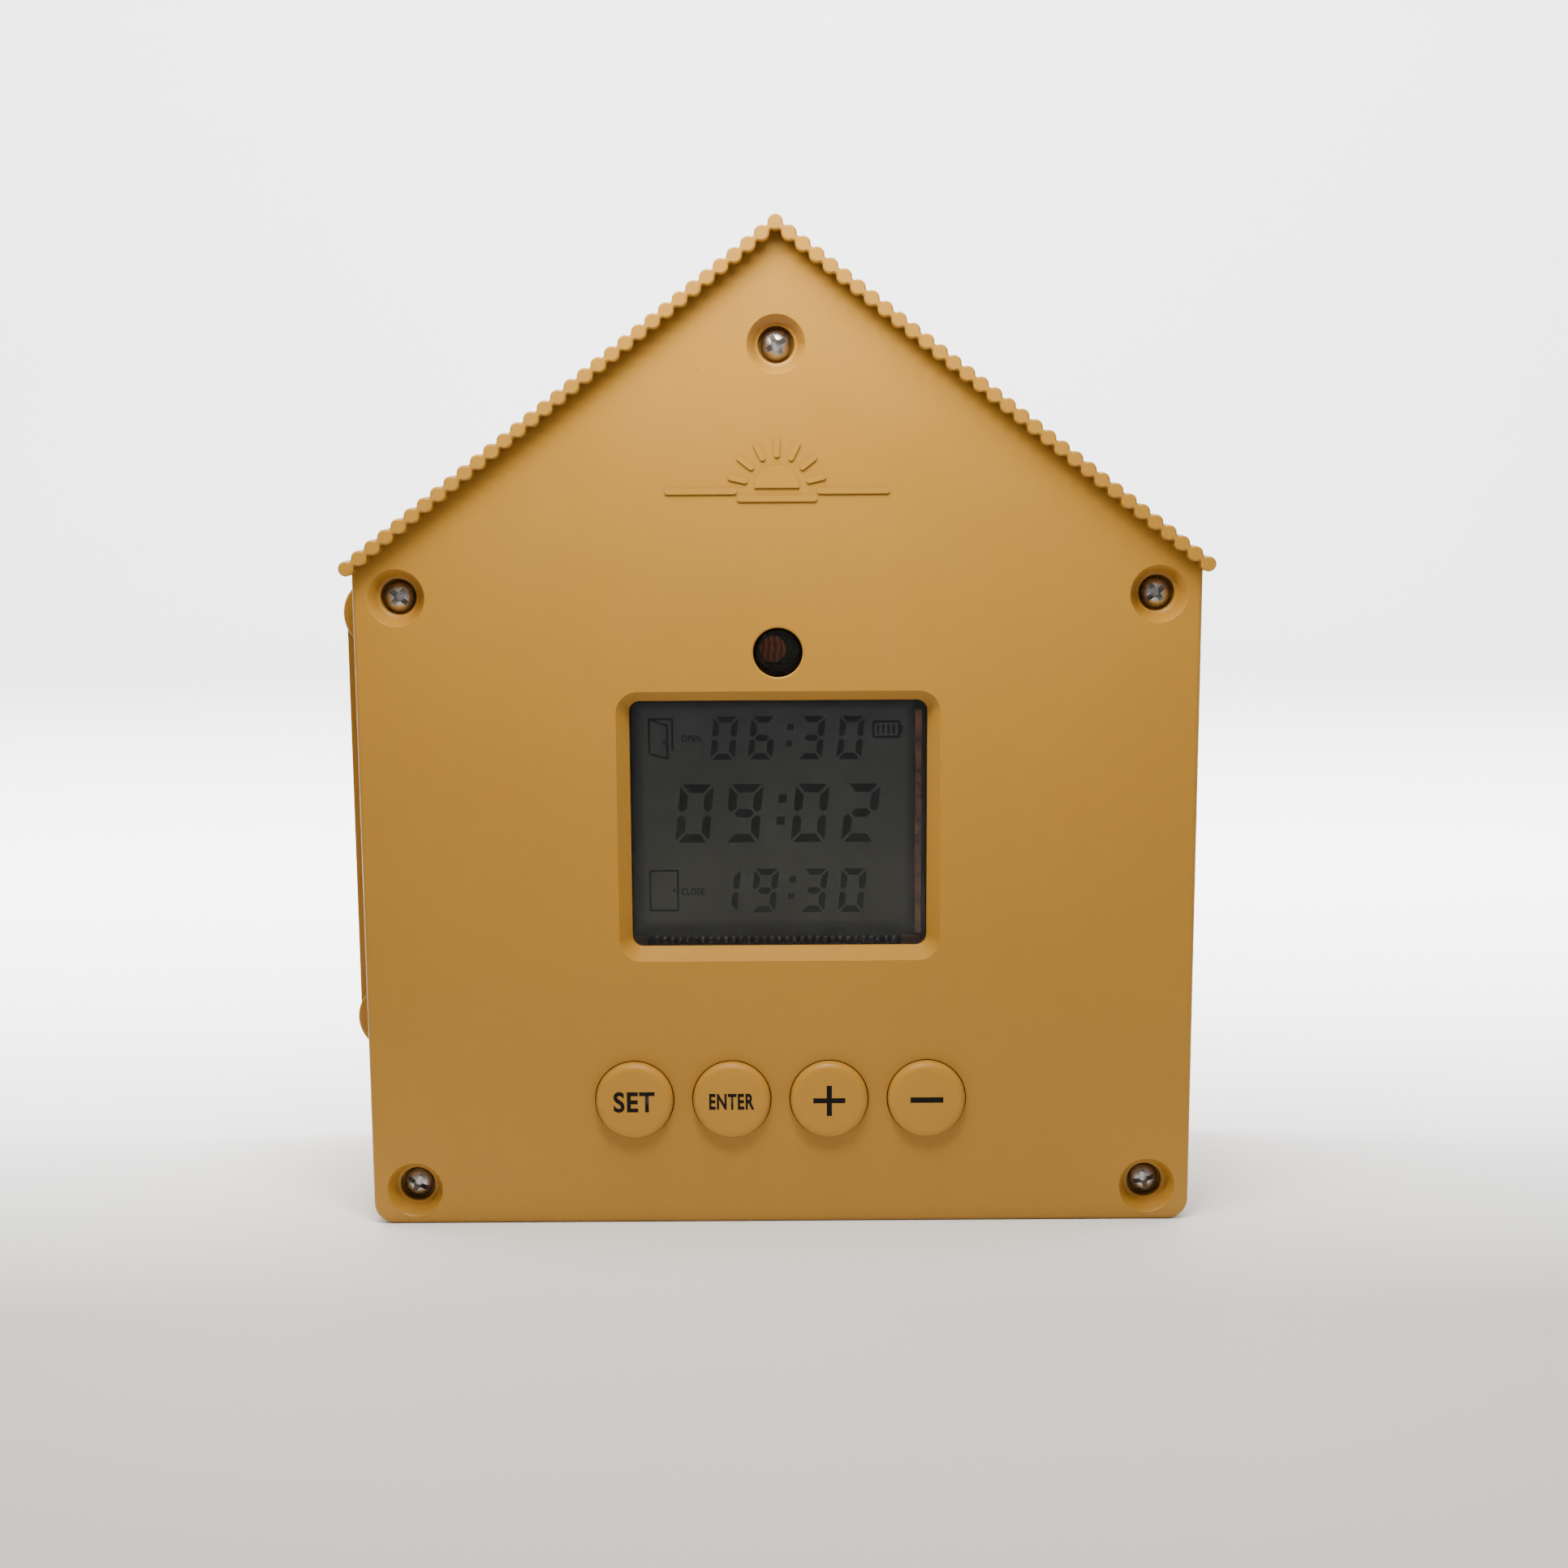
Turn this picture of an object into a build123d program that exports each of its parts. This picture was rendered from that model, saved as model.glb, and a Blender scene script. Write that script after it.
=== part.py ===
"""House-shaped controller of an automatic coop door: casing, display, buttons, battery bay and cord winder.

Modelled in millimetres. X runs to the right as seen from the front, Y from the front to the wall, and Z up.
Heights are counted from the base while modelling. Each part is then moved so that the origin is the centre
of the four wall-screw holes on the back face.
"""

import os
from math import acos, atan2, cos, pi, radians, sin, sqrt, tan

from build123d import *

# ---------------------------------------------------------------- casing
BODY_W = 160.0  # width of the casing, between its side walls' outer faces
BODY_D = 58.0  # wall to front face, without the roof's overhang
COVER_D = 14.0  # depth of the front cover, so the parting plane lies this far behind the front face
EAVE_X, EAVE_Z = 80.16, 128.8  # centre of the last roof bead
RIDGE_Z = 191.1  # centre of the ridge bead
WALL = 2.5
RIM_WALL, RIM_D = 4.0, 6.0  # thicker wall round the housing's mouth, and its depth
CORNER_R = 4.0  # casing's two bottom corners
EDGE_R = 0.8  # rounding of the front face's edge
FIXING_X, FIXING_Z, FIXING_DX, FIXING_DZ = 0.0, 73.0, 120.0, 106.0  # wall-screw pattern: centre and spacings
FIXING_R = 2.25

FRONT_Y = -BODY_D
PART_Y = FRONT_Y + COVER_D
FACE_IN_Y = FRONT_Y + WALL  # inner side of the cover's face
HALF_W = BODY_W / 2
SLOPE = atan2(RIDGE_Z - EAVE_Z, EAVE_X)

# ---------------------------------------------------------------- roof beads
ROOF_PROUD = 4.5  # overhang of the roof in front of the face
BEADS = 32  # bead pitches from the ridge to the eave
BEAD_R = 1.42
VALLEY = 0.58  # half thickness of the roof between two beads
BEAD_EDGE = 0.3  # chamfer of the beads' front edge

# ---------------------------------------------------------------- cover screws
SCREW_X, SCREW_LOW_Z, SCREW_HIGH_Z, SCREW_TOP_Z = 71.8, 6.95, 123.0, 169.5
POCKET_R, POCKET_STEP_R, POCKET_STEP_D = 5.3, 4.05, 3.2
SEAT_R, SEAT_D = 3.45, 5.8
BOSS_R = 6.7
SCREW_HEAD_R, SCREW_HEAD_H, SCREW_R, SCREW_L = 2.8, 2.2, 1.5, 24.0
SCREW_HOLE_R, SCREW_CLEAR_R = 1.55, 1.8
SCREWS = [  # x, height, turn of the cross recess in degrees
    (-SCREW_X, SCREW_LOW_Z, 62),
    (SCREW_X, SCREW_LOW_Z, 14),
    (-SCREW_X, SCREW_HIGH_Z, 50),
    (SCREW_X, SCREW_HIGH_Z, 38),
    (0.0, SCREW_TOP_Z, 28),
]

# ---------------------------------------------------------------- display
BEZEL_W, BEZEL_H, BEZEL_R = 61.7, 52.4, 4.2  # outer edge of the sloping recess
WINDOW_W, WINDOW_H, WINDOW_R = 57.1, 48.0, 2.1  # opening at the recess's floor
DISPLAY_Z = 78.8
BEZEL_D = 4.0
FRAME_D = 5.5  # depth of the rectangular frame behind the face
FRAME_BORDER = 3.6
LENS_GAP = 0.15
LENS_FLANGE, LENS_T = 2.6, 1.8
LCD_GAP = 0.3  # air between the window and the liquid crystal glass
LCD_W, LCD_H, LCD_X, LCD_Z = 55.6, 46.0, -0.8, 79.6  # front glass
LCD_T, LCD_LEDGE = 1.1, 2.6  # thickness of each glass, and how far the rear glass shows below the front one
PIN_COUNT, PIN_PITCH, PIN_W = 32, 1.5, 0.6
PIN_T, PIN_GRIP = 0.3, 1.5  # thickness of a contact clip, and how far it reaches up the ledge
TRAY_BORDER = 2.2  # tray's wall beyond the window's opening

LCD_Y = FRONT_Y + FRAME_D + LENS_T + LCD_GAP  # front of the liquid crystal glass
LCD_LOW = LCD_Z - LCD_H / 2 - LCD_LEDGE  # lower edge of the rear glass

# ---------------------------------------------------------------- light sensor
SENSOR_Z, SENSOR_R, SENSOR_FLANGE_R = 112.3, 4.6, 5.7
CELL_R, CELL_X, CELL_D = 2.55, -1.0, 7.0  # photocell: radius, offset, and depth behind the face
CELL_T, CELL_LEAD_DX = 1.8, 1.3
LENS_WALL_T, LENS_BORE_R = 1.2, 3.4  # tinted cap's front wall, and the bore behind it
TUBE_R, TUBE_BORE_R = 5.6, 3.9
TUBE_FRONT_Y = FACE_IN_Y + 1.4  # behind the cap's flange

# ---------------------------------------------------------------- raised sunrise on the gable
SUN_Z, SUN_R, SUN_PROUD = 143.2, 4.2, 0.4
RAYS, RAY_IN, RAY_OUT, RAY_W = 7, 5.6, 9.4, 1.1
HORIZON_IN, HORIZON_OUT = 7.5, 21.0

# ---------------------------------------------------------------- buttons
BUTTON_PITCH, BUTTON_Z, BUTTON_R, BUTTON_GAP = 18.95, 25.1, 7.55, 0.2
BUTTON_PROUD, BUTTON_EDGE_R = 2.0, 1.5
BUTTON_CROWN = 0.12  # rise of the button's middle above its rounded edge
BUTTON_FLANGE_R, BUTTON_FLANGE_T = 9.0, 1.2
BUTTON_STEM_R = 2.2
BUTTON_TRAVEL = 0.5
BUTTONS = ["set", "enter", "plus", "minus"]

# ---------------------------------------------------------------- circuit board
BOARD_W, BOARD_LOW, BOARD_HIGH, BOARD_T = 86.0, 13.0, 119.0, 1.6
BOARD_Y = -46.0  # its front side
BOARD_SCREWS = [(-39.5, 16.5), (-39.5, 115.5), (39.5, 16.5), (39.5, 115.5)]
BOARD_BACK_Y = BOARD_Y + BOARD_T
SWITCH_W, SWITCH_H, PLUNGER_R, PLUNGER_H = 6.0, 3.5, 1.7, 1.5
SWITCH_BORE_D, PLUNGER_GAP = 1.2, BUTTON_TRAVEL + 0.1  # bore in the switch, and free depth in it
PLUNGER_TOP = BOARD_Y - SWITCH_H - PLUNGER_H
CAP_X, CAP_Z, CAP_R, CAP_L = 30.0, 38.0, 3.1, 6.1

# ---------------------------------------------------------------- battery bay and door
BAY_X, BAY_FRONT, BAY_BACK, BAY_LOW, BAY_HIGH = -46.0, -38.5, -8.5, 48.0, 107.0
BAY_WALL = 2.0
CELL_DIA, CELL_LEN = 14.2, 50.0
HINGE_X, HINGE_Z, GRIP_Z, BARREL_R = -77.85, 37.2, 118.7, 7.3
BARREL_FRONT, BARREL_BACK = -40.5, -6.5
DOOR_OUT, DOOR_IN, DOOR_FRONT, DOOR_BACK = -84.6, -80.4, -39.5, -7.5
BARREL_GAP = 0.35
HINGE_PIN_R = 1.25
SEAL_T = 0.4
BAY_MID_Y = (BAY_FRONT + BAY_BACK) / 2
CELL_XS = (-70.2, -54.8)
CELL_YS = (BAY_MID_Y - 7.45, BAY_MID_Y + 7.45)
CONTACT_T, CONTACT_HALF = 0.4, 5.5  # thickness of the contact strips, and their reach round a cell's centre
SPRING_H, SPRING_R, SPRING_WIRE_R, SPRING_TURNS = 6.6, 4.6, 0.35, 4

# ---------------------------------------------------------------- cord winder
MODULE, PRESSURE, BACKLASH = 0.6, radians(25), 0.16
BIG_T, SMALL_T = 42, 12
GEAR_DIST = MODULE * (BIG_T + SMALL_T) / 2
OUT_Y, OUT_Z = -22.0, 36.0  # output shaft
TRAIN_DY = 6.0  # sideways step of the gear train's zigzag
PLATE_LEFT, PLATE_RIGHT, PLATE_T = 10.0, 31.0, 2.0
PLATE_FRONT, PLATE_BACK, PLATE_MID_Z, PLATE_H, PLATE_R = -37.5, -6.0, 55.5, 75.0, 3.0
SPACERS = [(-34.0, 22.5), (-10.0, 22.5), (-34.5, 88.5), (-10.0, 89.5)]
SPACER_R, RIVET_R, RIVET_HOLE_R = 2.2, 1.55, 1.6
FEET = [(38.0, 30.0), (38.0, 84.0), (4.5, 84.0)]  # x and height of the winder's fixing screws
FOOT_T, FOOT_HOLE_R, FOOT_HEAD_H = 2.0, 1.6, 1.6
LAYERS = [(13.5, 18.0), (19.0, 24.0), (25.0, 29.6)]
SHAFT_R, ARBOR_R, MOTOR_SHAFT_R, RUN_GAP = 2.5, 1.25, 1.0, 0.05
DRUM_R, DRUM_HALF, FLANGE_R, FLANGE_T = 8.0, 5.5, 13.0, 1.5
MOTOR_R, MOTOR_L = 12.0, 28.0
MOTOR_CAP_T, MOTOR_SCREW_DY, MOTOR_SCREW_R = 3.0, 8.0, 1.25
MOTOR_X0 = PLATE_RIGHT + PLATE_T  # front face of the motor
BUSH_R, BUSH_FLANGE_R, BUSH_FLANGE_T = 3.6, 4.6, 0.6
FIT = 0.02  # gap between parts that are pressed or clamped together
CORD_Y = OUT_Y + DRUM_R + 0.5
BATTERY_SOCKET, MOTOR_SOCKET = (-34.0, 30.0), (34.0, 66.0)  # wire connectors on the board's back
WIRE_R, WIRE_DX, WIRE_Y, WIRE_BEND = 0.7, 1.25, -41.7, 5.0
EYELET_R, EYELET_OUT_R, EYELET_FLANGE_R = 3.0, 4.3, 6.0

B_AXIS = (OUT_Y + TRAIN_DY, OUT_Z + sqrt(GEAR_DIST**2 - TRAIN_DY**2))
A_AXIS = (B_AXIS[0] - 2 * TRAIN_DY, B_AXIS[1] + sqrt(GEAR_DIST**2 - 4 * TRAIN_DY**2))
MOTOR_AXIS = (A_AXIS[0] + TRAIN_DY, A_AXIS[1] + sqrt(GEAR_DIST**2 - TRAIN_DY**2))
OUT_AXIS = (OUT_Y, OUT_Z)
MOTOR_SCREWS = [(MOTOR_AXIS[0] + s * MOTOR_SCREW_DY, MOTOR_AXIS[1]) for s in (-1, 1)]
WALL_SCREWS = [
    (x, z)
    for x in (-FIXING_DX / 2, FIXING_DX / 2)
    for z in (FIXING_Z - FIXING_DZ / 2, FIXING_Z + FIXING_DZ / 2)
]


# ================================================================ helpers
def block(x0, x1, y0, y1, z0, z1):
    """Box between two corners."""
    return Pos((x0 + x1) / 2, (y0 + y1) / 2, (z0 + z1) / 2) * Box(x1 - x0, y1 - y0, z1 - z0)


def front_view(y):
    """Plane at depth y that faces the front, for drawing in x and height."""
    return Plane(origin=(0, y, 0), x_dir=(1, 0, 0), z_dir=(0, -1, 0))


def prism(face, y0, y1):
    """Front-view face as a prism from depth y0 to y1."""
    return extrude(front_view(y1) * face, y1 - y0)


def prism_x(face, x0, x1):
    """Side-view face, drawn in depth and height, as a prism from x0 to x1."""
    plane = Plane(origin=(x0, 0, 0), x_dir=(0, 1, 0), z_dir=(1, 0, 0))
    return extrude(plane * face, x1 - x0)


def rod(x, z, r, y0, y1):
    """Round bar along the depth."""
    return prism(Pos(x, z) * Circle(r), y0, y1)


def rod_x(axis, r, x0, x1):
    """Round bar along the width, at (depth, height)."""
    return prism_x(Pos(*axis) * Circle(r), x0, x1)


def rod_z(x, y, r, z0, z1):
    """Upright round bar."""
    return Pos(x, y, (z0 + z1) / 2) * Cylinder(r, z1 - z0)


def turned(profile, x, z):
    """Solid turned about a line along the depth, from (radius, depth) points."""
    face = make_face(Polyline(*profile, close=True))
    return Pos(x, 0, z) * revolve(face, Axis.Y)


def group(pieces):
    """Separate solids kept together in one node."""
    return Compound([solid for piece in pieces for solid in piece.solids()])


def house(inset):
    """Front outline of the casing, moved inwards by inset."""
    x = HALF_W - inset
    top = RIDGE_Z - inset / cos(SLOPE)
    eave = top - x * tan(SLOPE)
    face = make_face(Polyline((-x, inset), (x, inset), (x, eave), (0, top), (-x, eave), close=True))
    return fillet(face.vertices().filter_by(lambda v: v.Y < inset + 1), max(CORNER_R - inset, 0.6))


# ================================================================ roof
def slope_edges(side, shrink):
    """Wavy upper and lower edge of one roof slope, with its outline shrunk by shrink."""
    along = Vector(side * cos(SLOPE), -sin(SLOPE))
    out = Vector(side * sin(SLOPE), cos(SLOPE))
    pitch = sqrt(EAVE_X**2 + (RIDGE_Z - EAVE_Z) ** 2) / BEADS
    bead_r, valley = BEAD_R - shrink, VALLEY - shrink
    # The valley's arc touches both beads: its radius follows from the pitch and the two heights.
    full_r = ((pitch / 2) ** 2 + VALLEY**2 - BEAD_R**2) / (2 * (BEAD_R - VALLEY))
    reach = BEAD_R + full_r
    touch_a = bead_r * (pitch / 2) / reach
    touch_n = bead_r * (VALLEY + full_r) / reach

    def at(bead, a, n):
        centre = Vector(0, RIDGE_Z) + along * (pitch * bead)
        return centre + along * a + out * n

    edges = []
    for face in (1, -1):  # upper edge, then lower edge
        for bead in range(BEADS):
            edges.append(
                ThreePointArc(
                    at(bead, touch_a, face * touch_n),
                    at(bead, pitch / 2, face * valley),
                    at(bead + 1, -touch_a, face * touch_n),
                )
            )
            if bead + 1 < BEADS:
                edges.append(
                    ThreePointArc(
                        at(bead + 1, -touch_a, face * touch_n),
                        at(bead + 1, 0, face * bead_r),
                        at(bead + 1, touch_a, face * touch_n),
                    )
                )
    edges.append(
        ThreePointArc(
            at(BEADS, -touch_a, touch_n), at(BEADS, bead_r, 0), at(BEADS, -touch_a, -touch_n)
        )
    )
    return edges, at(0, touch_a, touch_n), at(0, touch_a, -touch_n)


def roof_face(shrink=0.0):
    """Front view of the beaded roof, from eave to eave over the ridge."""
    left, left_top, left_low = slope_edges(-1, shrink)
    right, right_top, right_low = slope_edges(1, shrink)
    top = ThreePointArc(left_top, (0, RIDGE_Z + BEAD_R - shrink), right_top)
    low = ThreePointArc(left_low, (0, RIDGE_Z - BEAD_R + shrink), right_low)
    return make_face([*left, *right, top, low])


def roof_front():
    """Roof over the front cover, with the beads' front edge chamfered."""
    front = FRONT_Y - ROOF_PROUD
    body = prism(roof_face(), front + BEAD_EDGE, PART_Y)
    inner = front_view(front) * roof_face(BEAD_EDGE)
    outer = front_view(front + BEAD_EDGE) * roof_face()
    return body + loft([outer, inner], ruled=True)


# ================================================================ casing
def sunrise():
    """Raised half sun with rays, between two lines of horizon."""
    face = Pos(0, SUN_Z) * Circle(SUN_R) & Pos(0, SUN_Z + SUN_R) * Rectangle(2 * SUN_R, 2 * SUN_R)
    ray = Pos((RAY_IN + RAY_OUT) / 2, 0) * SlotOverall(RAY_OUT - RAY_IN, RAY_W)
    for k in range(RAYS):
        face += Pos(0, SUN_Z) * Rot(0, 0, 180 * (k + 0.5) / RAYS) * ray
    for side in (-1, 1):
        middle = side * (HORIZON_IN + HORIZON_OUT) / 2
        face += Pos(middle, SUN_Z - 0.6) * SlotOverall(HORIZON_OUT - HORIZON_IN, RAY_W)
    face += Pos(0, SUN_Z - 2.0) * SlotOverall(2 * HORIZON_IN, RAY_W)
    return prism(face, FRONT_Y - SUN_PROUD, FRONT_Y + 0.2)


def parting_groove():
    """Fine shadow line round the walls where the cover meets the housing."""
    ring = house(-1.0) - house(0.45)
    below_roof = Pos(0, (EAVE_Z - 3) / 2 - 2) * Rectangle(BODY_W + 10, EAVE_Z - 3)
    return prism(ring & below_roof, PART_Y - 0.25, PART_Y + 0.25)


def screw_pocket(x, z):
    """Space for one cover screw: flared mouth, step, head seat and clearance hole."""
    return turned(
        [
            (0, FRONT_Y - 1),
            (POCKET_R + 0.2, FRONT_Y - 1),
            (POCKET_R + 0.2, FRONT_Y),
            (POCKET_R, FRONT_Y + 0.25),
            (POCKET_STEP_R, FRONT_Y + POCKET_STEP_D),
            (SEAT_R, FRONT_Y + POCKET_STEP_D + 0.3),
            (SEAT_R, FRONT_Y + SEAT_D),
            (SCREW_CLEAR_R, FRONT_Y + SEAT_D),
            (SCREW_CLEAR_R, PART_Y + 1),
            (0, PART_Y + 1),
        ],
        x,
        z,
    )


def bezel_cut():
    """Sloping recess round the display window, and the window's opening."""
    mouth = Pos(0, DISPLAY_Z) * RectangleRounded(BEZEL_W, BEZEL_H, BEZEL_R)
    opening = Pos(0, DISPLAY_Z) * RectangleRounded(WINDOW_W, WINDOW_H, WINDOW_R)
    slope = loft([front_view(FRONT_Y) * mouth, front_view(FRONT_Y + BEZEL_D) * opening], ruled=True)
    hole = prism(opening, FRONT_Y + BEZEL_D, FRONT_Y + FRAME_D + 1)
    return slope + hole + prism(mouth, FRONT_Y - 1, FRONT_Y)


def rounded_rim(shell, y):
    """Rounds the edge of the walls and the base at depth y, below the eaves."""
    edges = shell.edges().filter_by_position(Axis.Y, y - 0.01, y + 0.01)
    return fillet([e for e in edges if e.center().Z < EAVE_Z - 2], EDGE_R)


def front_cover():
    shell = rounded_rim(prism(house(0), FRONT_Y, PART_Y), FRONT_Y)
    shell -= prism(house(WALL), FACE_IN_Y, PART_Y + 1)
    shell += roof_front()
    inside = prism(house(0.5), FRONT_Y + WALL / 2, PART_Y)
    for x, z, _ in SCREWS:
        shell += rod(x, z, BOSS_R, FRONT_Y + WALL / 2, PART_Y) & inside
    shell += block(
        -WINDOW_W / 2 - FRAME_BORDER,
        WINDOW_W / 2 + FRAME_BORDER,
        FACE_IN_Y - 0.5,
        FRONT_Y + FRAME_D,
        DISPLAY_Z - WINDOW_H / 2 - FRAME_BORDER,
        DISPLAY_Z + WINDOW_H / 2 + FRAME_BORDER,
    )
    for x, z in BOARD_SCREWS:
        shell += rod(x, z, 3.0, FACE_IN_Y - 0.5, BOARD_Y)
        shell -= rod(x, z, 1.15, FACE_IN_Y + 1.5, BOARD_Y + 1)
    for x, z, _ in SCREWS:
        shell -= screw_pocket(x, z)
    shell -= bezel_cut()
    shell -= turned(
        [
            (0, FRONT_Y - 1),
            (SENSOR_R + 0.35, FRONT_Y - 1),
            (SENSOR_R + 0.35, FRONT_Y),
            (SENSOR_R + 0.1, FRONT_Y + 0.25),
            (SENSOR_R + 0.1, FACE_IN_Y + 1),
            (0, FACE_IN_Y + 1),
        ],
        0,
        SENSOR_Z,
    )
    for i in range(len(BUTTONS)):
        shell -= rod(button_x(i), BUTTON_Z, BUTTON_R + BUTTON_GAP, FRONT_Y - 1, FACE_IN_Y + 1)
    return shell + sunrise() - parting_groove()


def rear_housing():
    shell = rounded_rim(prism(house(0), PART_Y, 0), 0) + prism(roof_face(), PART_Y, 0)
    shell -= prism(house(RIM_WALL), PART_Y - 1, PART_Y + RIM_D)
    shell -= prism(house(WALL), PART_Y + RIM_D - 0.1, -WALL)
    inside = prism(house(1.0), PART_Y, -WALL / 2)
    for x, z, _ in SCREWS:
        shell += rod(x, z, BOSS_R, PART_Y, -WALL / 2) & inside
    # battery bay, open to the left
    shell += block(
        -HALF_W + 1,
        BAY_X + BAY_WALL,
        BAY_FRONT - BAY_WALL,
        BAY_BACK + BAY_WALL,
        BAY_LOW - BAY_WALL,
        BAY_HIGH + BAY_WALL,
    )
    # trough for the door's hinge barrel
    trough = BARREL_R + BARREL_GAP
    shell += rod(HINGE_X, HINGE_Z, trough + BAY_WALL, PART_Y, -WALL / 2) & inside
    shell -= block(-HALF_W - 1, BAY_X, BAY_FRONT, BAY_BACK, BAY_LOW, BAY_HIGH)
    shell -= rod(HINGE_X, HINGE_Z, trough, BARREL_FRONT - BARREL_GAP, BARREL_BACK + BARREL_GAP)
    shell -= rod(HINGE_X, HINGE_Z, HINGE_PIN_R + RUN_GAP, PART_Y + 1.6, 1)
    # cover screws, wall screws and the winder's feet
    for x, z, _ in SCREWS:
        shell -= rod(x, z, SCREW_HOLE_R, PART_Y - 1, PART_Y + SCREW_L - 5)
    for x, z in WALL_SCREWS:
        shell += rod(x, z, 5.0, -WALL - 2.0, -WALL / 2)
        shell -= rod(x, z, FIXING_R, -WALL - 3.0, 1)
    for x, z in FEET:
        shell += rod(x, z, 3.6, -6.0, -WALL / 2)
        shell -= rod(x, z, 1.3, -7.0, -1.2)
    # cord outlet with its eyelet's seat
    shell -= rod_z(0, CORD_Y, EYELET_OUT_R + 0.1, -1, WALL + 1)
    shell -= rod_z(0, CORD_Y, EYELET_FLANGE_R + 0.1, -1, 1.4)
    # groove for the cover's gasket
    shell -= prism(house(0.9) - house(2.5), PART_Y - 1, PART_Y + 1.2)
    return shell - parting_groove()


def cover_gasket():
    return prism(house(1.0) - house(2.4), PART_Y, PART_Y + 1.15)


def pan_screw(x, z, turn, top, head_r, head_h, shank_r, length, recess_r):
    """Pan-head screw with a cross recess. Its head's top is at depth top, and it points to the back."""
    under = top + head_h
    arc = ThreePointArc((0, top), (head_r * 0.62, top + head_h * 0.1), (head_r, top + head_h * 0.5))
    rest = Polyline(
        (head_r, top + head_h * 0.5),
        (head_r, under),
        (shank_r, under),
        (shank_r, under + length - shank_r),
        (shank_r * 0.4, under + length),
        (0, under + length),
        (0, top),
    )
    body = revolve(make_face([*arc.edges(), *rest.edges()]), Axis.Y)
    arms = Rectangle(2 * recess_r, recess_r * 0.44) + Rectangle(recess_r * 0.44, 2 * recess_r)
    deep = recess_r * 0.85
    cone = turned(
        [
            (0, top - 1),
            (recess_r * 1.5, top - 1),
            (recess_r, top + 0.3),
            (recess_r * 0.4, top + deep),
            (0, top + deep),
        ],
        0,
        0,
    )
    body -= prism(Rot(0, 0, turn) * (arms + Circle(recess_r * 0.42)), top - 1, top + deep) & cone
    return Pos(x, 0, z) * body


def cover_screws():
    top = FRONT_Y + SEAT_D - SCREW_HEAD_H
    return group(
        pan_screw(x, z, turn, top, SCREW_HEAD_R, SCREW_HEAD_H, SCREW_R, SCREW_L, 2.2)
        for x, z, turn in SCREWS
    )


# ================================================================ display and sensor
def display_window():
    """Clear lens: a plug in the opening with a flange behind it."""
    y = FRONT_Y + FRAME_D
    gap = 2 * LENS_GAP
    plug = prism(
        Pos(0, DISPLAY_Z) * RectangleRounded(WINDOW_W - gap, WINDOW_H - gap, WINDOW_R - LENS_GAP),
        FRONT_Y + BEZEL_D + 0.1,
        y,
    )
    flange = prism(
        Pos(0, DISPLAY_Z) * RectangleRounded(WINDOW_W + 2 * LENS_FLANGE, WINDOW_H + 2 * LENS_FLANGE, 2),
        y,
        y + LENS_T,
    )
    return plug + flange


def lcd_glass():
    """Two glass plates; the rear one has a ledge with the contacts below the front one."""
    x0, x1 = LCD_X - LCD_W / 2, LCD_X + LCD_W / 2
    z0, z1 = LCD_Z - LCD_H / 2, LCD_Z + LCD_H / 2
    front = block(x0, x1, LCD_Y, LCD_Y + LCD_T, z0, z1)
    rear = block(x0, x1, LCD_Y + LCD_T, LCD_Y + 2 * LCD_T, LCD_LOW, z1)
    return front + rear


def lcd_pins():
    """Row of metal clips on the ledge, with their legs down to the board."""
    ledge_y = LCD_Y + LCD_T
    pins = []
    for i in range(PIN_COUNT):
        x = LCD_X + (i - (PIN_COUNT - 1) / 2) * PIN_PITCH
        x0, x1 = x - PIN_W / 2, x + PIN_W / 2
        clip = block(x0, x1, ledge_y - PIN_T, ledge_y, LCD_LOW - PIN_T, LCD_LOW + PIN_GRIP)
        leg = block(x0, x1, ledge_y - PIN_T, BOARD_BACK_Y + 1, LCD_LOW - PIN_T, LCD_LOW)
        pins.append(clip + leg)
    return group(pins)


def lcd_frame():
    """Tray between the glass and the board, with a low wall round the glass."""
    back = LCD_Y + 2 * LCD_T
    x0, x1 = -WINDOW_W / 2 - TRAY_BORDER, WINDOW_W / 2 + TRAY_BORDER
    z0, z1 = LCD_LOW - 1.6, DISPLAY_Z + WINDOW_H / 2 + TRAY_BORDER
    tray = block(x0, x1, LCD_Y, BOARD_Y, z0, z1)
    glass_x0, glass_x1 = LCD_X - LCD_W / 2 - 0.2, LCD_X + LCD_W / 2 + 0.2
    glass = block(glass_x0, glass_x1, LCD_Y - 1, back, LCD_LOW - 0.5, LCD_Z + LCD_H / 2 + 0.2)
    under = block(x0 + 4, x1 - 4, back + 0.8, BOARD_Y + 1, LCD_LOW + 3, z1 - 4)
    reach = PIN_COUNT / 2 * PIN_PITCH + 1
    slot = block(LCD_X - reach, LCD_X + reach, LCD_Y - 1, BOARD_Y + 1, LCD_LOW - 0.7, LCD_LOW)
    return tray - glass - under - slot


def sensor_lens():
    """Tinted cap of the light sensor: a plug through the face, a flange behind it, hollow at the back."""
    front = FRONT_Y + 0.35
    return turned(
        [
            (0, front),
            (SENSOR_R - 0.4, front),
            (SENSOR_R, front + 0.4),
            (SENSOR_R, FACE_IN_Y),
            (SENSOR_FLANGE_R, FACE_IN_Y),
            (SENSOR_FLANGE_R, TUBE_FRONT_Y),
            (LENS_BORE_R, TUBE_FRONT_Y),
            (LENS_BORE_R, front + LENS_WALL_T),
            (0, front + LENS_WALL_T),
        ],
        0,
        SENSOR_Z,
    )


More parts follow.
